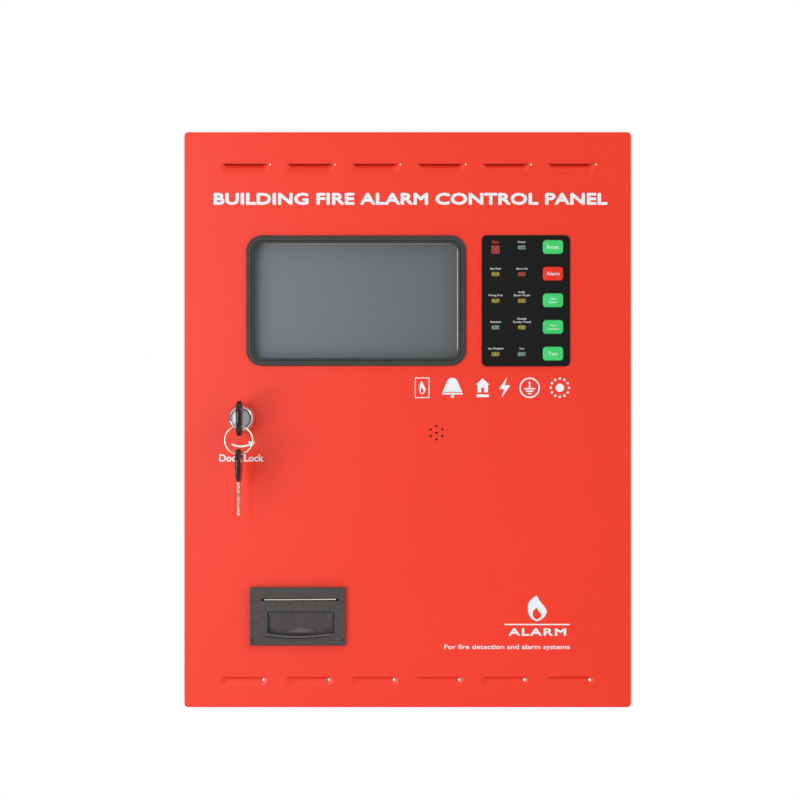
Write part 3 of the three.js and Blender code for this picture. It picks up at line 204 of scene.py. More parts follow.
def board_material():
    """Green solder mask on glass-epoxy: the copper tracks below it, in a net with cells of about 5 mm,
    show as slightly lighter, raised lines."""
    made, tree, shader = blank("solder_mask")
    place = add(tree, "ShaderNodeTexCoord").outputs["Object"]
    tracks = add(tree, "ShaderNodeTexVoronoi",
                 {"Vector": place, "Scale": 1 / (5 * MM), "Randomness": 0.8}, feature="DISTANCE_TO_EDGE")
    edge = add(tree, "ShaderNodeMapRange", {"Value": tracks.outputs["Distance"], "From Min": 0.03,
                                            "From Max": 0.09, "To Min": 1.0, "To Max": 0.0})
    ramp = add(tree, "ShaderNodeValToRGB", {"Fac": edge.outputs[0]})
    ramp.color_ramp.elements[0].color = linear("#1c5636")
    ramp.color_ramp.elements[1].color = linear("#2d7a4d")
    bump = add(tree, "ShaderNodeBump", {"Height": edge.outputs[0], "Distance": 0.05 * MM})
    tree.links.new(ramp.outputs["Color"], shader.inputs["Base Color"])
    tree.links.new(bump.outputs[0], shader.inputs["Normal"])
    shader.inputs["Roughness"].default_value = 0.32
    return made


SCREEN = screen_material()
SOLDER_MASK = board_material()


# ---- mesh helpers --------------------------------------------------------------------------------
def make_object(name, mesh, materials):
    """Links a mesh to the scene as a piece with these materials."""
    piece = bpy.data.objects.new(name, mesh)
    for each in materials:
        mesh.materials.append(each)
    scene.collection.objects.link(piece)
    return piece


def grid_piece(name, points, material, around=True, along=False, caps=False, smooth=True):
    """A surface from an array of points [u, v, xyz]: each four neighbours make a face. around closes
    u on itself, along closes v, and caps fills the two end rings of v."""
    nu, nv = points.shape[:2]
    index = np.arange(nu * nv).reshape(nu, nv)
    u = index if around else index[:-1]
    a = u if along else u[:, :-1]
    b = np.roll(index, -1, axis=0)[:len(u)]
    c = np.roll(b, -1, axis=1)
    d = np.roll(index, -1, axis=1)[:len(u)]
    if not along:
        b, c, d = b[:, :-1], c[:, :-1], d[:, :-1]
    faces = np.stack([a, b, c, d], axis=-1).reshape(-1, 4).tolist()
    if caps:
        faces += [index[::-1, 0].tolist(), index[:, -1].tolist()] if around else \
            [index[0].tolist(), index[-1, ::-1].tolist()]
    mesh = bpy.data.meshes.new(name)
    mesh.from_pydata((points.reshape(-1, 3) * MM).tolist(), [], faces)
    work = bmesh.new()
    work.from_mesh(mesh)
    bmesh.ops.remove_doubles(work, verts=work.verts, dist=1e-6)
    bmesh.ops.recalc_face_normals(work, faces=work.faces)
    work.to_mesh(mesh)
    work.free()
    mesh.validate()
    piece = make_object(name, mesh, [material])
    if smooth:
        mesh.shade_smooth()
        mesh.set_sharp_from_angle(angle=math.radians(38))
    return piece


finished_nodes = set()


def place_on(piece, body, slot, *stands_for):
    """Says what a piece rides on and which CAD nodes it stands for, and hides those. slot is not used."""
    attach(piece, body)
    if stands_for:
        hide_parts(*stands_for)
        finished_nodes.update(stands_for)
    return piece


NODE_BODY = {node: body for body, nodes in frame["record"]["behaviour"]["bodies"].items()
             for node in nodes}
NODE_SLOT = {part["node"]: part["material_slot"] for part in frame["record"]["subparts"]}


def welded(node):
    """A merged copy of a CAD node's mesh with its flat areas joined into single faces."""
    work = bmesh.new()
    work.from_mesh(frame["nodes"][node].data)
    bmesh.ops.remove_doubles(work, verts=work.verts, dist=2e-6)
    bmesh.ops.dissolve_limit(work, angle_limit=math.radians(1), verts=work.verts, edges=work.edges)
    bmesh.ops.recalc_face_normals(work, faces=work.faces)
    return work


def face_places(mesh):
    """Centre of each face and the Y of its front-most corner, in mm."""
    centres, points = np.empty(len(mesh.polygons) * 3), np.empty(len(mesh.vertices) * 3)
    starts, turns = np.empty(len(mesh.polygons), np.int32), np.empty(len(mesh.loops), np.int32)
    mesh.polygons.foreach_get("center", centres)
    mesh.polygons.foreach_get("loop_start", starts)
    mesh.loops.foreach_get("vertex_index", turns)
    mesh.vertices.foreach_get("co", points)
    fronts = np.minimum.reduceat(points[1::3][turns], starts)
    return centres.reshape(-1, 3) / MM, fronts / MM


def softened(node, material, width, segments=2, pick=None, more=()):
    """A copy of a CAD node with its edges rounded over `width` mm, as bending, moulding or tumbling
    leaves them. pick takes the faces' centres and their front-most Y, in mm, and gives the number of
    the material that each face takes."""
    work = welded(node)
    mesh = bpy.data.meshes.new(node + "_finished")
    work.to_mesh(mesh)
    work.free()
    piece = make_object(node + "_finished", mesh, [material, *more])
    if pick:
        chosen = pick(*face_places(mesh))
        mesh.polygons.foreach_set("material_index", np.asarray(chosen, dtype=np.int32))
    bevel = piece.modifiers.new("edges", "BEVEL")
    bevel.width, bevel.segments = width * MM, segments
    bevel.limit_method, bevel.angle_limit = "ANGLE", math.radians(28)
    bevel.use_clamp_overlap = True
    even = piece.modifiers.new("normals", "WEIGHTED_NORMAL")
    even.keep_sharp, even.weight = True, 100
    mesh.shade_smooth()
    mesh.set_sharp_from_angle(angle=math.radians(32))
    return place_on(piece, NODE_BODY[node], NODE_SLOT[node], node)


def corners(node):
    """Lowest and highest corner of a CAD node, in mm."""
    low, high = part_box(node)
    return np.array(low) / MM, np.array(high) / MM


def middle(node):
    """Centre of a CAD node's box, in mm."""
    low, high = corners(node)
    return (low + high) / 2


# ---- shapes --------------------------------------------------------------------------------------
def frame_path(centre, width, height, radius, steps=10, seam=None):
    """A rounded rectangle on the XZ plane as the centre of curvature and outward direction of each of
    its points, so that a point `grow` outside it is centre + (radius + grow) * direction. With a seam
    the path starts and ends at that X on the bottom edge, a hair apart."""
    turns = np.concatenate([np.linspace(start, start + 90, steps) for start in (-90, 0, 90, 180)])
    turns = np.radians(turns)
    side = np.repeat([[1, -1], [1, 1], [-1, 1], [-1, -1]], steps, axis=0)
    reach = np.array([width / 2 - radius, height / 2 - radius])
    pivots = np.array(centre) + side * reach
    outward = np.stack([np.cos(turns), np.sin(turns)], axis=1)
    if seam is not None:
        hair = 0.12
        ends = [[seam + hair, centre[1] - reach[1]]], [[seam - hair, centre[1] - reach[1]]]
        pivots = np.concatenate([ends[0], pivots, ends[1]])
        outward = np.concatenate([[[0, -1]], outward, [[0, -1]]])
    return pivots, outward


def swept_frame(path, radius, section):
    """Carries a section of (grow, y) points round a rounded rectangle: x and z are
    centre + (radius + grow) * direction, y is the section's own."""
    pivots, outward = path
    grow, y = np.array(section, dtype=float).T
    flat = pivots[:, None, :] + (radius + grow)[None, :, None] * outward[:, None, :]
    return np.stack([flat[..., 0], np.broadcast_to(y, flat.shape[:2]), flat[..., 1]], axis=-1)


def arc(centre, radius, start, stop, steps=6):
    """Points of a circular arc between two angles in degrees, for a section."""
    turns = np.radians(np.linspace(start, stop, steps))
    points = [centre[0] + radius * np.cos(turns), centre[1] + radius * np.sin(turns)]
    return np.stack(points, axis=1).tolist()


def turned_points(profile, centre, steps=64):
    """Turns a profile of (radius, y) points about a line along Y: x = cx + r cos t, z = cz + r sin t."""
    radius, y = np.array(profile, dtype=float).T
    turn = np.linspace(0, 2 * np.pi, steps, endpoint=False)[:, None]
    return np.stack([centre[0] + radius * np.cos(turn), np.broadcast_to(y, (steps, len(y))),
                     centre[1] + radius * np.sin(turn)], axis=-1)


def tube_points(path, radius, flat=1.0, steps=12, up=(0, 1, 0)):
    """A round or flattened tube: each path point plus radius * (cos t * side + flat * sin t * up)."""
    path = np.asarray(path, dtype=float)
    along = np.gradient(path, axis=0)
    along /= np.linalg.norm(along, axis=1, keepdims=True)
    rise = np.array(up, dtype=float)
    side = np.cross(along, rise)
    side /= np.linalg.norm(side, axis=1, keepdims=True)
    rise = np.cross(side, along)
    turn = np.linspace(0, 2 * np.pi, steps, endpoint=False)
    across, out = np.cos(turn)[None, :, None], flat * np.sin(turn)[None, :, None]
    ring = across * side[:, None] + out * rise[:, None]
    return path[:, None, :] + radius * ring


# ---- door ----------------------------------------------------------------------------------------
softened("door_shell", RED_COAT, 0.45)
softened("back_box", RED_COAT, 0.4)


def window_edging():
    """Rubber edging pushed over the window's cut-out: one section carried round the opening, with
    rounded outer edges, a shallow groove inside the face and a butt joint in the bottom run."""
    low, high = corners("window_gasket")
    face, inner_corner = 7.0, 7.0
    centre = ((low[0] + high[0]) / 2, (low[2] + high[2]) / 2)
    width, height = high[0] - low[0] - 2 * face, high[2] - low[2] - 2 * face
    front, back = low[1], high[1]
    section = [(0, back), (0, front + 1.2), *arc((1.0, front + 1.0), 1.0, 180, 270), (1.7, front + 0.05),
               (2.0, front + 0.75), (2.35, front + 0.75), (2.65, front), (5.0, front),
               *arc((5.4, front + 1.6), 1.6, -90, 0), (face, front + 2.2), (2.75, front + 2.2),
               (2.75, front + 4.3), (face - 1, front + 4.3), (face - 1, back)]
    path = frame_path(centre, width, height, inner_corner, 14, seam=centre[0] + 12.3)
    piece = grid_piece("window_edging", swept_frame(path, inner_corner, section), RUBBER,
                       around=False, along=True, caps=True)
    return place_on(piece, "door", "black_rubber", "window_gasket")


window_edging()

# glass with a hair of cream tape showing along its top and right edges
softened("touch_lens", SCREEN, 0.2)


def glass_tape():
    """Foam tape between glass and bracket: a thin band that shows along the top and the right."""
    low = corners("touch_lens")[0]
    edge_low, edge_high = corners("window_gasket")
    depths = low[1] - 0.75, low[1] - 0.05
    top, right = edge_high[2] - 6.95, edge_high[0] - 7.5
    left = edge_low[0] + 8
    outline = np.array([[left, top], [right - 3, top], [right, top - 3], [right, low[2] + 12],
                        [right + 1.6, low[2] + 12], [right + 1.6, top + 1.6], [left, top + 1.6]])
    rings = [np.column_stack([outline[:, 0], np.full(len(outline), each), outline[:, 1]]) for each in depths]
    piece = grid_piece("glass_tape", np.stack(rings, axis=1), TAPE, caps=True, smooth=False)
    return place_on(piece, "door", "thermal_paper")


glass_tape()
softened("display_bracket", GALVANISED, 0.25)
softened("keypad_overlay", FILM, 0.18)


# ---- keypad --------------------------------------------------------------------------------------
def key_cap(node, material):
    """A moulded key: a rounded rectangle whose face rises gently to its middle, with a rounded edge
    and a flange behind the film. Inside the edge, height falls with the square of the distance."""
    low, high = corners(node)
    centre = ((low[0] + high[0]) / 2, (low[2] + high[2]) / 2)
    flange, corner, edge = 1.6, 3.0, 0.9
    width, height = high[0] - low[0] - 2 * flange, high[2] - low[2] - 2 * flange
    front, back = low[1], high[1]
    path = frame_path(centre, width, height, corner, 8)
    side = swept_frame(path, corner, [*arc((-edge, front + 0.3 + edge), edge, -90, 0, 7), (0, back - 1.6),
                                      (flange - 0.2, back - 1.5), (flange - 0.2, back)])
    rim = side[:, 0]
    share = np.linspace(0, 1, 9)[None, :, None]
    heart = np.array([centre[0], front + 0.02, centre[1]])
    dome = heart + (rim[:, None] - heart) * share
    dome[..., 1] = front + 0.3 * share[..., 0] ** 2
    points = np.concatenate([dome[:, :-1], side], axis=1)
    piece = grid_piece(node + "_cap", points, material, caps=False)
    close_back(piece)
    return place_on(piece, NODE_BODY[node], NODE_SLOT[node], node)


def close_back(piece):
    """Fills the open loops of a piece so that it is one closed body, with its faces outward."""
    work = bmesh.new()
    work.from_mesh(piece.data)
    bmesh.ops.holes_fill(work, edges=[edge for edge in work.edges if edge.is_boundary], sides=0)
    bmesh.ops.recalc_face_normals(work, faces=work.faces)
    work.to_mesh(piece.data)
    work.free()
    piece.data.shade_smooth()
    piece.data.set_sharp_from_angle(angle=math.radians(38))


for button in ("reset", "buzzer_silence", "sounder_silence", "test"):
    key_cap("button_" + button, GREEN_KEY)
key_cap("button_evacuate", RED_KEY)

LAMPS = [("fire", "general_fault", "system_fault", "supervisor", "general_disable"),
         ("power", "evacuate", "buzzer_silence", "sounder_silence", "test")]
LAMP_PLASTIC = {"red_lens": RED_WINDOW, "yellow_lens": YELLOW_WINDOW, "green_lens": GREEN_WINDOW}
for column in LAMPS:
    for window in column:
        node = "indicator_" + window
        softened(node, LAMP_PLASTIC[NODE_SLOT[node]], 0.2)


# ---- printed marks -------------------------------------------------------------------------------
def flat_mesh(curve):
    """The filled outline of a text or flat curve as points and faces on its own plane."""
    holder = bpy.data.objects.new("outline", curve)
    scene.collection.objects.link(holder)
    bpy.context.view_layer.update()
    mesh = bpy.data.meshes.new_from_object(holder.evaluated_get(bpy.context.evaluated_depsgraph_get()))
    points = np.empty(len(mesh.vertices) * 3)
    mesh.vertices.foreach_get("co", points)
    faces = [tuple(polygon.vertices) for polygon in mesh.polygons]
    bpy.data.objects.remove(holder)
    bpy.data.meshes.remove(mesh)
    return points.reshape(-1, 3)[:, :2], faces


def words(text, spacing=1.0):
    """Lettering as a flat mesh."""
    curve = bpy.data.curves.new("lettering", "FONT")
    curve.body, curve.size = text, 10.0
    curve.space_character = spacing
    curve.resolution_u = 3
    curve.fill_mode = "FRONT"
    return flat_mesh(curve)


def shape(*loops):
    """A flat shape from loops of points; a loop inside another is a hole in it."""
    curve = bpy.data.curves.new("shape", "CURVE")
    curve.dimensions, curve.fill_mode = "2D", "BOTH"
    for loop in loops:
        spline = curve.splines.new("POLY")
        spline.points.add(len(loop) - 1)
        flat = np.zeros((len(loop), 4))
        flat[:, :2], flat[:, 3] = np.array(loop), 1
        spline.points.foreach_set("co", flat.ravel())
        spline.use_cyclic_u = True
    return flat_mesh(curve)


def fitted(flat, x0, x1, z0, z1, keep=True):
    """Scales a flat mesh into the middle of a box: to its width and height, or with keep by the
    smaller of the two factors, so that its proportions stay."""
    points, faces = flat
    low, high = points.min(axis=0), points.max(axis=0)
    scale = np.array([x1 - x0, z1 - z0]) / (high - low)
    if keep:
        scale[:] = scale.min()
    middle_point = np.array([(x0 + x1) / 2, (z0 + z1) / 2])
    return (points - (low + high) / 2) * scale + middle_point, faces


def bold(flat, grow):
    """Thickens lettering by `grow` mm on each side: copies of it moved that far in eight directions."""
    points, faces = flat
    turns = np.radians(np.arange(0, 360, 45))
    moves = [grow * np.array([math.cos(turn), math.sin(turn)]) for turn in turns]
    return [(points + move, faces) for move in moves] + [flat]


def circle(x, z, radius, steps=32):
    """Points of a circle."""
    turn = np.linspace(0, 2 * np.pi, steps, endpoint=False)
    return np.stack([x + radius * np.cos(turn), z + radius * np.sin(turn)], axis=1).tolist()


LAYER, LAYERS = 0.004, 9  # depths of the overlapping copies of a mark, so that no two faces coincide


def printed(name, y, material, body, slot, marks):
    """One layer of ink on a face that looks along -Y: the marks of one colour as one flat piece."""
    points, faces, start = [], [], 0
    for number, (flat_points, flat_faces) in enumerate(marks):
        depth = np.full(len(flat_points), y - LAYER * (number % LAYERS))
        points.append(np.stack([flat_points[:, 0], depth, flat_points[:, 1]], axis=1))
        faces += [tuple(index + start for index in face) for face in flat_faces]
        start += len(flat_points)
    place = np.concatenate(points) * MM
    mesh = bpy.data.meshes.new(name)
    mesh.from_pydata(place.tolist(), [], faces)
    normals = np.empty(len(mesh.polygons) * 3)
    mesh.polygons.foreach_get("normal", normals)
    if normals.reshape(-1, 3)[:, 1].sum() > 0:
        mesh.flip_normals()
    return place_on(make_object(name, mesh, [material]), body, slot)


# pictograms on a unit square, each worked out from its own few sizes
def flame():
    """A flame: two mirrored S-curves that meet in a point, with a smaller flame cut out low down."""
    rise = np.linspace(0, 1, 18)
    belly = 0.36 * np.sin(np.pi * rise ** 0.75) ** 0.85
    lean = 0.10 * np.sin(2 * np.pi * rise)
    right = np.stack([0.5 + belly + lean * rise, rise], axis=1)
    left = np.stack([0.5 - belly + lean * rise, rise], axis=1)[::-1]
    outer = np.concatenate([right, left[1:-1]])
    inner = (outer - [0.5, 0]) * [0.45, 0.45] + [0.5, 0.07]
    return [outer.tolist(), inner.tolist()]


def bell():
    """A bell: a dome that flares to its rim, a bar below it and a round clapper."""
    rise = np.linspace(0, 1, 12)
    half = 0.40 * (1 - rise) ** 2 * 0.5 + 0.27 * np.sqrt(np.clip(1 - rise ** 4, 0, 1))
    body = np.concatenate([np.stack([0.5 + half, 0.26 + 0.68 * rise], axis=1),
                           np.stack([0.5 - half, 0.26 + 0.68 * rise], axis=1)[::-1][1:]])
    return [body.tolist(), [[0.02, 0.14], [0.98, 0.14], [0.98, 0.22], [0.02, 0.22]],
            circle(0.5, 0.05, 0.08, 14)]


def bolt():
    """A lightning bolt: two slanting strokes that overlap by a step."""
    return [[[0.62, 1.0], [0.16, 0.44], [0.46, 0.44], [0.30, 0.0], [0.84, 0.62], [0.52, 0.62]]]


def earth():
    """Protective earth: a stem and three bars that shorten downwards, inside a ring."""
    bars = [[[0.5 - half, z], [0.5 + half, z], [0.5 + half, z + 0.07], [0.5 - half, z + 0.07]]
            for half, z in ((0.27, 0.42), (0.18, 0.30), (0.09, 0.18))]
    stem = [[0.46, 0.49], [0.54, 0.49], [0.54, 0.80], [0.46, 0.80]]
    return [circle(0.5, 0.5, 0.5, 40), circle(0.5, 0.5, 0.43, 40), *bars, stem]


def house():
    """A house over a ground line: a gable over a block, with a door cut out."""
    ground = [[0.06, -0.34], [0.94, -0.34], [0.94, -0.14], [0.06, -0.14]]
    walls = [[0.5, 1.0], [0.0, 0.55], [0.12, 0.55], [0.12, 0.0], [0.88, 0.0], [0.88, 0.55], [1.0, 0.55]]
    door = [[0.40, 0.0001], [0.40, 0.34], [0.60, 0.34], [0.60, 0.0001]]
    return [ground, walls, door]


def ring_mark():
    """A ring of twelve dots round a plain disc."""
    turns = [math.radians(30 * step) for step in range(12)]
    dots = [circle(0.5 + 0.43 * math.cos(turn), 0.5 + 0.43 * math.sin(turn), 0.06, 10) for turn in turns]
    return [*dots, circle(0.5, 0.5, 0.2, 24)]


def framed(loops, tall=1.42):
    """A pictogram inside an upright rectangle drawn as a line."""
    inner = [(np.array(loop) * [0.62, 0.9] + [0.19, 0.26]).tolist() for loop in loops]
    line = 0.055
    return [[[0, 0], [1, 0], [1, tall], [0, tall]],
            [[line, line], [1 - line, line], [1 - line, tall - line], [line, tall - line]], *inner]


def turn_arrow(x0, x1, z, sag, thick):
    """An arrow that bows downwards from x0 to x1: a band along a parabola with a triangle at its end."""
    head_long, head_wide = 5.6, 6.4
    span = np.linspace(0, 1, 18)
    reach = x1 - x0 - head_long * 0.8
    mid = np.stack([x0 + reach * span, z + sag * ((2 * span - 1) ** 2 - 1)], axis=1)
    slope = np.gradient(mid, axis=0)
    side = np.stack([-slope[:, 1], slope[:, 0]], axis=1) / np.linalg.norm(slope, axis=1, keepdims=True)
    band = np.concatenate([mid + side * thick / 2, (mid - side * thick / 2)[::-1]])
    along = slope[-1] / np.linalg.norm(slope[-1])
    start = mid[-1] - along * 0.6
    half = side[-1] * head_wide / 2
    head = np.stack([start + half, start + along * head_long, start - half])
    return [band.tolist(), head.tolist()]


DOOR_FACE = corners("door_shell")[0][1]
FILM_FACE = corners("keypad_overlay")[0][1]
INK = 0.06  # how far a layer of ink stands in front of its face, so that neither shows through

# boxes of the marks on the door as x0, x1, z0, z1 in mm; those of the lock start from its centre
TITLE_BOX = (-173.3, 178.3, 192.9, 202.6)
LOCK_WORDS_BOX = (-19.6, 19.5, -38.6, -32.5)
LOCK_ARROW = (-8.7, 12.3, -23.2)  # x0, x1 and z
SYMBOL_ROW = (19.3, 37.8)  # z0 and z1 of the row of pictograms
DEVICE_BOX = (104, 128, -180.5, -157.5)
RULE_BOX = (86.6, 145.2, -184.0, -182.9)
DEVICE_WORD_BOX = (90.5, 141.5, -193.2, -187.0)
USE_BOX = (32.8, 145.2, -206.6, -201.4)


def stretched(text, box, grow, spacing=1.0):
    """Lettering that fills a box, thickened by `grow` mm."""
    return bold(fitted(words(text, spacing), *box, keep=False), grow)


def door_marks():
    """White ink on the door: the title, the lock's arrow and words, a row of pictograms and a device."""
    x, _, z = middle("lock_housing")
    x0, x1, z0, z1 = LOCK_WORDS_BOX
    marks = [*stretched("BUILDING FIRE ALARM CONTROL PANEL", TITLE_BOX, 0.62, 1.02),
             *stretched("Door Lock", (x + x0, x + x1, z + z0, z + z1), 0.22)]
    x0, x1, below = LOCK_ARROW
    marks += [shape(loop) for loop in turn_arrow(x + x0, x + x1, z + below, 2.0, 1.5)]
    for x0, x1, loops, keep in ((6.5, 19.4, framed(flame()), True), (28.5, 51.5, bell(), True),
                                (60.9, 73.4, house(), True), (81.9, 91.9, bolt(), False),
                                (100.0, 118.4, earth(), True), (126.8, 145.6, ring_mark(), True)):
        marks.append(fitted(shape(*loops), x0, x1, *SYMBOL_ROW, keep=keep))
    x0, x1, z0, z1 = RULE_BOX
    return [*marks, fitted(shape(*flame()), *DEVICE_BOX), shape([[x0, z0], [x1, z0], [x1, z1], [x0, z1]]),
            *stretched("ALARM", DEVICE_WORD_BOX, 0.35, 1.15),
            *stretched("For fire detection and alarm systems", USE_BOX, 0.1)]


printed("door_printing", DOOR_FACE - INK, WHITE_INK, "door", "red_powder_coat", door_marks())


def keypad_marks():
    """White ink on the film: a line or two above each window but that of the fire lamp."""
    texts = {"power": ["Power"], "evacuate": ["Alarm On"], "buzzer_silence": ["Inside", "Buzzer Muted"],
             "sounder_silence": ["Outside", "Sounder Muted"], "test": ["Test"],
             "general_fault": ["Any Fault"], "system_fault": ["Wiring Fault"],
             "supervisor": ["Attention"], "general_disable": ["Any Disabled"]}
    above, step, cap = 4.1, 2.9, 1.75  # last line over the window's centre, line spacing, letter height
    marks = []
    for window, lines in texts.items():
        x, _, z = middle("indicator_" + window)
        for row, line in enumerate(lines):
            marks.append(line_of(line, x, z + above + step * (len(lines) - 1 - row), cap))
    return marks


def line_of(text, x, base, cap=2.0):
    """One line of small lettering centred at x, its capitals `cap` high above the base line."""
    points, faces = words(text)
    capital = words("H")[0]
    scale = cap / (capital[:, 1].max() - capital[:, 1].min())
    points = points * scale
    points[:, 0] += x - (points[:, 0].max() + points[:, 0].min()) / 2
    points[:, 1] += base
    return points, faces


printed("keypad_printing", FILM_FACE - INK, WHITE_INK, "door", "overlay_film", keypad_marks())
fire = middle("indicator_fire")
printed("fire_printing", FILM_FACE - INK, RED_INK, "door", "overlay_film",
        [line_of("Fire", fire[0], fire[2] + 5.4, 2.6)])
KEY_WORDS = {"reset": ["Reset"], "evacuate": ["Alarm"], "buzzer_silence": ["Mute", "Buzzer"],
             "sounder_silence": ["Mute", "Sounders"], "test": ["Test"]}
for button, lines in KEY_WORDS.items():
    x, _, z = middle("button_" + button)
    cap, step = (3.3, 3.0) if len(lines) == 1 else (1.9, 3.0)
    start = z + step * (len(lines) - 1) / 2 - cap / 2
    printed(button + "_legend", corners("button_" + button)[0][1] - 0.02, WHITE_INK, "button_" + button,
            NODE_SLOT["button_" + button],
            [line_of(line, x, start - step * row, cap) for row, line in enumerate(lines)])


# ---- lock, keys and ring -------------------------------------------------------------------------
def lock_bezel():
    """Chromed lock body, turned about its axis: a flat brushed face, a groove whose floor is painted
    dark as shade, and a skirt whose slope steepens evenly from its front edge to the door."""
    low, high = corners("lock_housing")
    x, _, z = middle("lock_housing")
    front, back = low[1], high[1]
    edge, face, bore = (high[0] - low[0]) / 2, 9.8, 7.5
    root, crest = 8.9, 9.4
    threads = np.arange(DOOR_FACE + 2.2, back - 1.2, 1.0)
    thread = [(crest if number % 2 else root, float(y)) for number, y in enumerate(threads)]
    slope = np.radians(np.linspace(32, 74, 14))
    steps = np.cumsum(np.stack([np.cos(slope), np.sin(slope)], axis=1), axis=0)
    steps *= np.array([edge - face, DOOR_FACE - 0.5 - front - 0.3]) / steps[-1]
    shoulder = [(face, front + 0.3), *(steps + [face, front + 0.3]).tolist()]
    profile = [(bore, back), (bore, front + 0.5), (bore + 0.2, front + 0.05), (face - 1.5, front),
               (face - 1.2, front + 0.7), (face - 0.75, front + 0.7), (face - 0.5, front + 0.1),
               *shoulder, (edge, DOOR_FACE), (crest, DOOR_FACE), (crest, DOOR_FACE + 1.6), *thread,
               (root, back)]
    piece = grid_piece("lock_bezel", turned_points(profile, (x, z), 96), CHROME, along=True)
    mesh = piece.data
    mesh.materials.append(LOCK_FACE)
    mesh.materials.append(RUBBER)  # dark rubber finish on the groove's floor: painted shade
    centres, _ = face_places(mesh)
    reach = np.hypot(centres[:, 0] - x, centres[:, 2] - z)
    depth = centres[:, 1] - front
    number = np.where((reach < face - 1.45) & (depth < 0.3), 1, 0)
    # faces on the groove's floor take the dark rubber finish as painted shade
    number[(reach > face - 1.25) & (reach < face - 0.7) & (depth > 0.3) & (depth < 0.8)] = 2
    mesh.polygons.foreach_set("material_index", number.astype(np.int32))
    return place_on(piece, "door", "chrome", "lock_housing")


lock_bezel()
softened("lock_plug", LOCK_FACE, 0.2)
softened("lock_nut", ZINC, 0.3)
softened("lock_cam", ZINC, 0.3)


def key_bow(node, upright):
    """A moulded bow, as a torus between two loops: the eye's and the outline's. The share from one
    to the other is 0.5 - 0.5 cos v, and the thickness follows sin v raised to a small power, which
    gives flat cheeks with full round edges."""
    low, high = corners(node)
    x, y_mid, z_mid = (low + high) / 2
    deep, tall = high[1] - low[1], high[2] - low[2]
    width, length = (deep, tall) if upright else (tall, deep)
    half_thick = (high[0] - low[0]) / 2
    u = np.linspace(0, 2 * np.pi, 72, endpoint=False)[:, None]
    v = np.linspace(0, 2 * np.pi, 28, endpoint=False)[None, :]
    cos_u, sin_u = np.cos(u), np.sin(u)

    def bulged(value, power):
        return np.sign(value) * np.abs(value) ** power

    eye_across, eye_reach = 8.0 * bulged(sin_u, 0.8), length - 6.0 + 2.5 * bulged(cos_u, 0.8)
    out_across, out_reach = width / 2 * bulged(sin_u, 0.72), length / 2 * (1 + bulged(cos_u, 0.72))
    share = 0.5 - 0.5 * np.cos(v)
    across = eye_across + (out_across - eye_across) * share
    reach = eye_reach + (out_reach - eye_reach) * share
    thick = half_thick * bulged(np.sin(v), 0.42) + 0 * u
    if upright:
        points = np.stack([x + thick, y_mid + across, low[2] + reach], axis=-1)
    else:
        points = np.stack([x + thick, high[1] - reach, z_mid + across], axis=-1)
    piece = grid_piece(node + "_moulded", points, KEY_NYLON, along=True)
    return place_on(piece, NODE_BODY[node], NODE_SLOT[node], node)


key_bow("key_bow_in_lock", upright=False)
key_bow("key_bow_spare", upright=True)


def split_ring():
    """Two turns of flattened wire: a circle whose Y steps from one turn to the next over a short arc."""
    x, y, z = middle("key_ring")
    low, high = corners("key_ring")
    wire = (high[1] - low[1]) / 2
    radius = (high[0] - low[0]) / 2 - wire
    turns = np.linspace(0.02, 1.98, 260)
    step = np.clip((turns - 0.92) / 0.16, 0, 1)
    lift = wire * (-0.5 + step ** 2 * (3 - 2 * step))
    angle = 2 * np.pi * turns + 0.9
    path = np.stack([x + radius * np.cos(angle), y + lift, z + radius * np.sin(angle)], axis=1)
    piece = grid_piece("split_ring", tube_points(path, wire * 0.96, 0.5, 14), NICKEL,
                       around=False, along=True, caps=True)
    return place_on(piece, "ring", "nickel_silver", "key_ring")


split_ring()
softened("key_blade_in_lock", NICKEL, 0.12)
softened("key_blade_spare", NICKEL, 0.12)

# ---- printer -------------------------------------------------------------------------------------
softened("printer_housing", PRINTER_ABS, 0.35)
softened("printer_lid", PRINTER_ABS, 0.3)


def paper_tongue():
    """Paper from the roll over the platen and out of the slit: a thin sheet along a path of (y, z)
    whose end curls up, a little more towards the right where it was torn last."""
    low, high = corners("paper_strip")
    roll_y, roll_top = middle("paper_roll")[1], corners("paper_roll")[1][2]
    thick, out, slit, nip_y = 0.14, low[1], -161.15, -129.5
    path = [(roll_y, roll_top + 0.35), (roll_y - 6, roll_top + 1.2), (nip_y, slit), (out + 4, slit + 0.05),
            (out + 1.4, slit + 0.15), (out + 0.2, slit + 0.4), (out - 0.6, slit + 0.85),
            (out - 0.9, slit + 1.4)]
    lower = np.array(path)
    lean = np.gradient(lower, axis=0)
    lean = np.stack([-lean[:, 1], lean[:, 0]], axis=1) / np.linalg.norm(lean, axis=1, keepdims=True)
    loop = np.concatenate([lower + lean * thick / 2, (lower - lean * thick / 2)[::-1]])
    across = np.linspace(low[0], high[0], 33)
    share = (across - across[0]) / (across[-1] - across[0])
    past = np.clip(out + 2 - loop[None, :, 0], 0, 3)  # how far each point is past the slit
    z = loop[None, :, 1] + past * (0.16 * share[:, None] ** 2 - 0.22)
    points = np.stack([across[:, None] + 0 * z, loop[None, :, 0] + 0 * z, z], axis=-1)
    piece = grid_piece("paper_tongue", points, PAPER, around=False, along=True, caps=True)
    return place_on(piece, "door", "thermal_paper", "paper_strip")


paper_tongue()


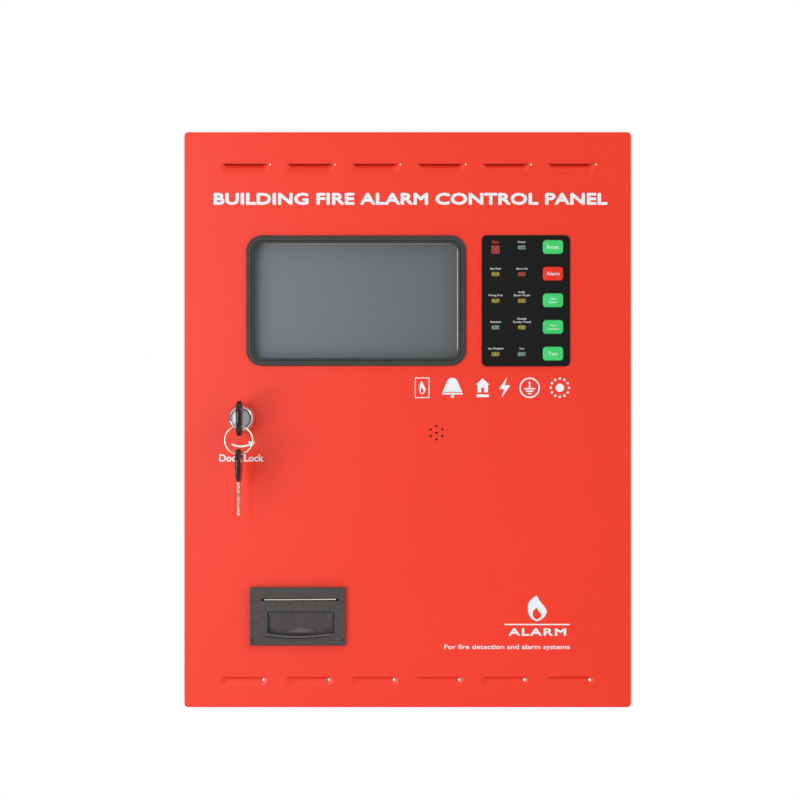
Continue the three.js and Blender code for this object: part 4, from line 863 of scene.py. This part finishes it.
def grip_trim():
    """A dark frame of painted shadow round the finger recess, and the wedge that a fingernail finds in
    it, lighter in colour as painted light on its facets.
    """
    low, high = corners("printer_lid")
    x0, x1 = low[0] + 16.0, high[0] - 9.6
    top, ends = low[2] + 30.5, low[2] + 11.4
    y, wide = low[1] + 0.98, 0.5
    outline = np.array([(x0, ends), (x0, top), (x1, top), (x1, ends)])
    inner = np.array([(x0 + wide, ends), (x0 + wide, top - wide), (x1 - wide, top - wide),
                      (x1 - wide, ends)])
    # a thin near-black frame just proud of the lid: painted shadow round the recess
    rings = [np.column_stack([loop[:, 0], np.full(4, depth), loop[:, 1]])
             for loop, depth in ((outline, y), (outline, y - 0.05), (inner, y - 0.05), (inner, y))]
    piece = grid_piece("grip_shadow_line", np.stack(rings, axis=1), SHADE_ABS,
                       around=False, along=True, caps=True, smooth=False)
    place_on(piece, "printer_lid", "charcoal_plastic")
    # the wedge's lighter plastic paints the light on its facets
    x, z = x0 + 16.8, low[2] + 11.7  # left corner of the wedge
    floor_y, rise = low[1] + 3.6, 3.1
    points = [(x, floor_y, z), (x + 24.4, floor_y, z - 0.3), (x + 24.4, floor_y, z + 2.3),
              (x + 11.0, floor_y, z + 4.6), (x + 14.1, floor_y - rise, z + 0.1)]
    faces = [(0, 3, 4), (3, 2, 4), (2, 1, 4), (1, 0, 4), (0, 1, 2, 3)]
    mesh = bpy.data.meshes.new("nail_wedge")
    mesh.from_pydata((np.array(points) * MM).tolist(), [], faces)
    wedge = make_object("nail_wedge", mesh, [POLISHED_LIT_ABS])
    close_back(wedge)
    place_on(wedge, "printer_lid", "charcoal_plastic")


grip_trim()

LIP_HALF, LIP_SAG, LIP_END = 29.2, 2.3, 11.2  # half width, sag and height over the lid's bottom edge
# the lip's top, whose lighter plastic is painted light, as (z, y)
LIP_BAND = [(0.0, 0.8), (-0.2, 0.1), (-0.7, -0.3), (-1.4, -0.35), (-1.9, 0.0), (-1.9, 0.8)]
# the dark band under the lip, painted shade, as (z, y)
LIP_SHADE = [(-1.85, 0.5), (-1.85, -0.06), (-2.6, -0.06), (-2.6, 0.5)]


def swept_arc(name, section, material):
    """Carries a section of (z, y) points along the lower edge of the finger recess, which bows down:
    with t from -1 to 1 along it, z falls by the sag times (1 - t squared)."""
    low, high = corners("printer_lid")
    t = np.linspace(-1, 1, 41)[:, None]
    across, out = np.array(section, dtype=float).T[:, None, :]
    x = (low[0] + high[0]) / 2 + LIP_HALF * t
    z = low[2] + LIP_END + across - LIP_SAG * (1 - t ** 2)
    piece = grid_piece(name, np.stack([x + 0 * z, low[1] + out + 0 * z, z], axis=-1), material,
                       around=False, along=True, caps=True)
    place_on(piece, "printer_lid", "charcoal_plastic")


# the lip's top in a lighter plastic: painted light
swept_arc("grip_lip", LIP_BAND, POLISHED_LIT_ABS)
# a dark band under the lip: painted shade
swept_arc("grip_lip_shade", LIP_SHADE, SHADE_ABS)


# ---- louvres -------------------------------------------------------------------------------------
def louvre_dish(name, x, top, deep, glint):
    """The drawn dish of one lanced louvre: its depth grows with a power of the height above its lower
    edge, up to the lance at the top, and dies away towards both ends as a smooth step. The last
    argument gives the bright bead at the right end of the lance, a painted glint: its X and Z from
    there, its radius and its seat's depth."""
    half, tall = 21.15, 9.8
    u, v = np.linspace(-1, 1, 49)[:, None], np.linspace(0, 1, 15)[None, :]
    ends = np.clip((1 - np.abs(u)) / 0.26, 0, 1)
    ends = ends * ends * (3 - 2 * ends)
    drop = deep * v ** 2.1 * ends
    level = top - tall + tall * v
    front = np.stack([x + half * u + 0 * v, DOOR_FACE - 0.04 + drop, level + 0 * u], axis=-1)
    back = front + [0, 0.5, 0]
    points = np.concatenate([front, back[:, ::-1]], axis=1)
    piece = grid_piece(name, points, RED_COAT, around=False, along=True, caps=True)
    place_on(piece, "door", "red_powder_coat")
    # a bright metal bead seated at the lance's right end: a painted glint of the light on the dish's rim
    turn = np.linspace(0, np.pi / 2, 7)
    along, above, radius, sunk = glint
    seat = DOOR_FACE + sunk
    bead = list(zip(radius * np.sin(turn), seat - 0.64 * radius * np.cos(turn)))
    points = turned_points(bead + [(0.02, seat)], (x + half + along, top + above), 24)
    points[..., 2] += 0.3 * (points[..., 2] - (top + above))
    glint_bead = grid_piece(name + "_burr", points, GLINT_METAL, along=True)
    place_on(glint_bead, "door", "zinc_plate")


PITCH = 58.4  # from louvre to louvre
# top of each row, depth of its dishes, and the bead that paints the glint at the right end of each lance:
# the upper row's sits at the lance's very end
LOUVRES = {"upper": (228.85, 4.0, (1.6, -0.4, 0.75, 0.1)),
           "lower": (-230.85, 2.3, (-4.0, -2.1, 1.25, 0.9))}
for row, (top, deep, glint) in LOUVRES.items():
    for number in range(6):
        louvre_dish(f"louvre_{row}_{number + 1}", (number - 2.5) * PITCH, top, deep, glint)

# ---- everything else -----------------------------------------------------------------------------
BOARD_PARTS = [SOLDER_MASK, EPOXY, SOCKET_NYLON, RELAY_BLUE, TERMINAL_GREEN, ALUMINIUM, BLACK_ABS, ZINC]
MASK, CHIP, SOCKET, RELAY, SCREW_BLOCK, FINS, CAN, CELL = range(8)


def by_height(face, heights):
    """Chooses materials by how far each face's front-most corner stands out from the board's face:
    heights lists (up to, number) in rising order."""
    limits = np.array([limit for limit, _ in heights])
    numbers = np.array([number for _, number in heights])

    def pick(centres, fronts):
        return numbers[np.searchsorted(limits, face - fronts)]
    return pick


def populated(node, heights, board=1.6):
    """A circuit board with each component in its own material."""
    back = corners(node)[1][1]
    pick = by_height(back - board, heights)
    softened(node, BOARD_PARTS[0], 0.18, 1, pick, BOARD_PARTS[1:])


populated("main_board", [(0.1, MASK), (3.0, CHIP), (5.5, CELL), (12.0, SOCKET), (16.0, RELAY),
                         (20.5, FINS), (99.0, CAN)])
populated("loop_card", [(0.1, MASK), (6.5, CHIP), (8.5, RELAY), (10.0, SOCKET), (99.0, SCREW_BLOCK)])
SLOT_FINISH = {
    "red_powder_coat": RED_COAT, "zinc_plate": ZINC, "galvanised_sheet": GALVANISED,
    "aluminium_case": ALUMINIUM, "brass_stud": BRASS, "chrome": CHROME, "nickel_silver": NICKEL,
    "black_rubber": RUBBER, "screen_glass": SCREEN, "black_plastic": BLACK_ABS, "key_plastic": KEY_NYLON,
    "charcoal_plastic": PRINTER_ABS, "overlay_film": FILM, "circuit_board": SOLDER_MASK,
    "green_terminal": TERMINAL_GREEN, "thermal_paper": PAPER, "battery_case": BATTERY_ABS,
}
for battery in ("battery_left", "battery_right"):
    case_top = corners(battery)[1][2] - 6
    softened(battery, BATTERY_ABS, 0.8, 3, lambda centres, fronts: centres[:, 2] > case_top + 0.2, [ZINC])
for node in sorted(set(NODE_SLOT) - finished_nodes):
    softened(node, SLOT_FINISH[NODE_SLOT[node]], 0.25)

# ---- floor, lights and camera --------------------------------------------------------------------
def floor():
    """A pale matt floor below the panel."""
    half, height = 1.3, -0.62
    mesh = bpy.data.meshes.new("floor")
    mesh.from_pydata([(x * half, y * half, height) for x, y in ((-1, -1), (1, -1), (1, 1), (-1, 1))],
                     [], [(0, 1, 2, 3)])
    paint = finish("matt_floor", "#f2f2f2", "#eeeeee", (0.8, 0.9), 3, 0.0, 400)
    make_object("floor", mesh, [paint])


def soft_light(name, place, target, wide, tall, watts):
    """A rectangular soft light aimed at a point."""
    data = bpy.data.lights.new(name, "AREA")
    data.shape, data.size, data.size_y, data.energy = "RECTANGLE", wide, tall, watts
    light = bpy.data.objects.new(name, data)
    light.location = place
    aim = mathutils.Vector(target) - mathutils.Vector(place)
    light.rotation_euler = aim.to_track_quat("-Z", "Y").to_euler()
    scene.collection.objects.link(light)


ROOM_FRONT, ROOM_SIDE = 0.22, 0.8  # light from straight in front of the door, and from the sides
FLAG = 0.12  # what a black flag on the far left leaves of it, for dark streaks in polished metal


def studio():
    """White surroundings, dimmer in front of the door; a key light well to the left of the lens, a low
    and a high fill, and a narrow strip that gives rounded edges a streak of light."""
    world = bpy.data.worlds.new("white_studio")
    world.use_nodes = True
    tree = world.node_tree
    background = tree.nodes["Background"]
    toward = add(tree, "ShaderNodeTexCoord").outputs["Generated"]
    depth = add(tree, "ShaderNodeSeparateXYZ", {"Vector": toward}).outputs["Y"]
    dim = add(tree, "ShaderNodeMapRange", {"Value": depth, "From Min": -0.97, "From Max": -0.55,
                                           "To Min": ROOM_FRONT, "To Max": ROOM_SIDE})
    across = add(tree, "ShaderNodeSeparateXYZ", {"Vector": toward}).outputs["X"]
    flag = add(tree, "ShaderNodeMapRange", {"Value": across, "From Min": -0.97, "From Max": -0.86,
                                            "To Min": FLAG, "To Max": 1.0})
    lit = add(tree, "ShaderNodeMath", {0: dim.outputs[0], 1: flag.outputs[0]}, operation="MULTIPLY")
    seen = add(tree, "ShaderNodeLightPath").outputs["Is Camera Ray"]
    strength = add(tree, "ShaderNodeMix", {"Factor": seen, "A": lit.outputs[0], "B": 1.0})
    tree.links.new(strength.outputs[0], background.inputs["Strength"])
    background.inputs["Color"].default_value = (1, 1, 1, 1)
    scene.world = world
    soft_light("key", (-0.95, -1.95, 0.2), (-0.05, -0.14, 0.0), 0.9, 0.9, 10.5)
    soft_light("low_fill", (-1.2, -1.3, -0.6), (-0.05, -0.14, -0.05), 0.6, 0.6, 9.6)
    soft_light("high_fill", (1.1, -1.2, 0.9), (0.05, -0.1, 0.05), 0.8, 0.8, 3)
    soft_light("edge_strip", (-0.62, -2.1, 0.05), (-0.15, -0.15, -0.02), 0.1, 0.8, 1.3)


def camera():
    """A long lens straight in front of the door."""
    data = bpy.data.cameras.new("camera")
    data.lens, data.sensor_width = 100, 36
    eye = bpy.data.objects.new("camera", data)
    eye.location = (-0.0069, -2.130, 0.0176)
    eye.rotation_euler = (math.pi / 2, 0, 0)
    scene.collection.objects.link(eye)
    scene.camera = eye


floor()
studio()
camera()
scene.view_settings.view_transform = "Standard"
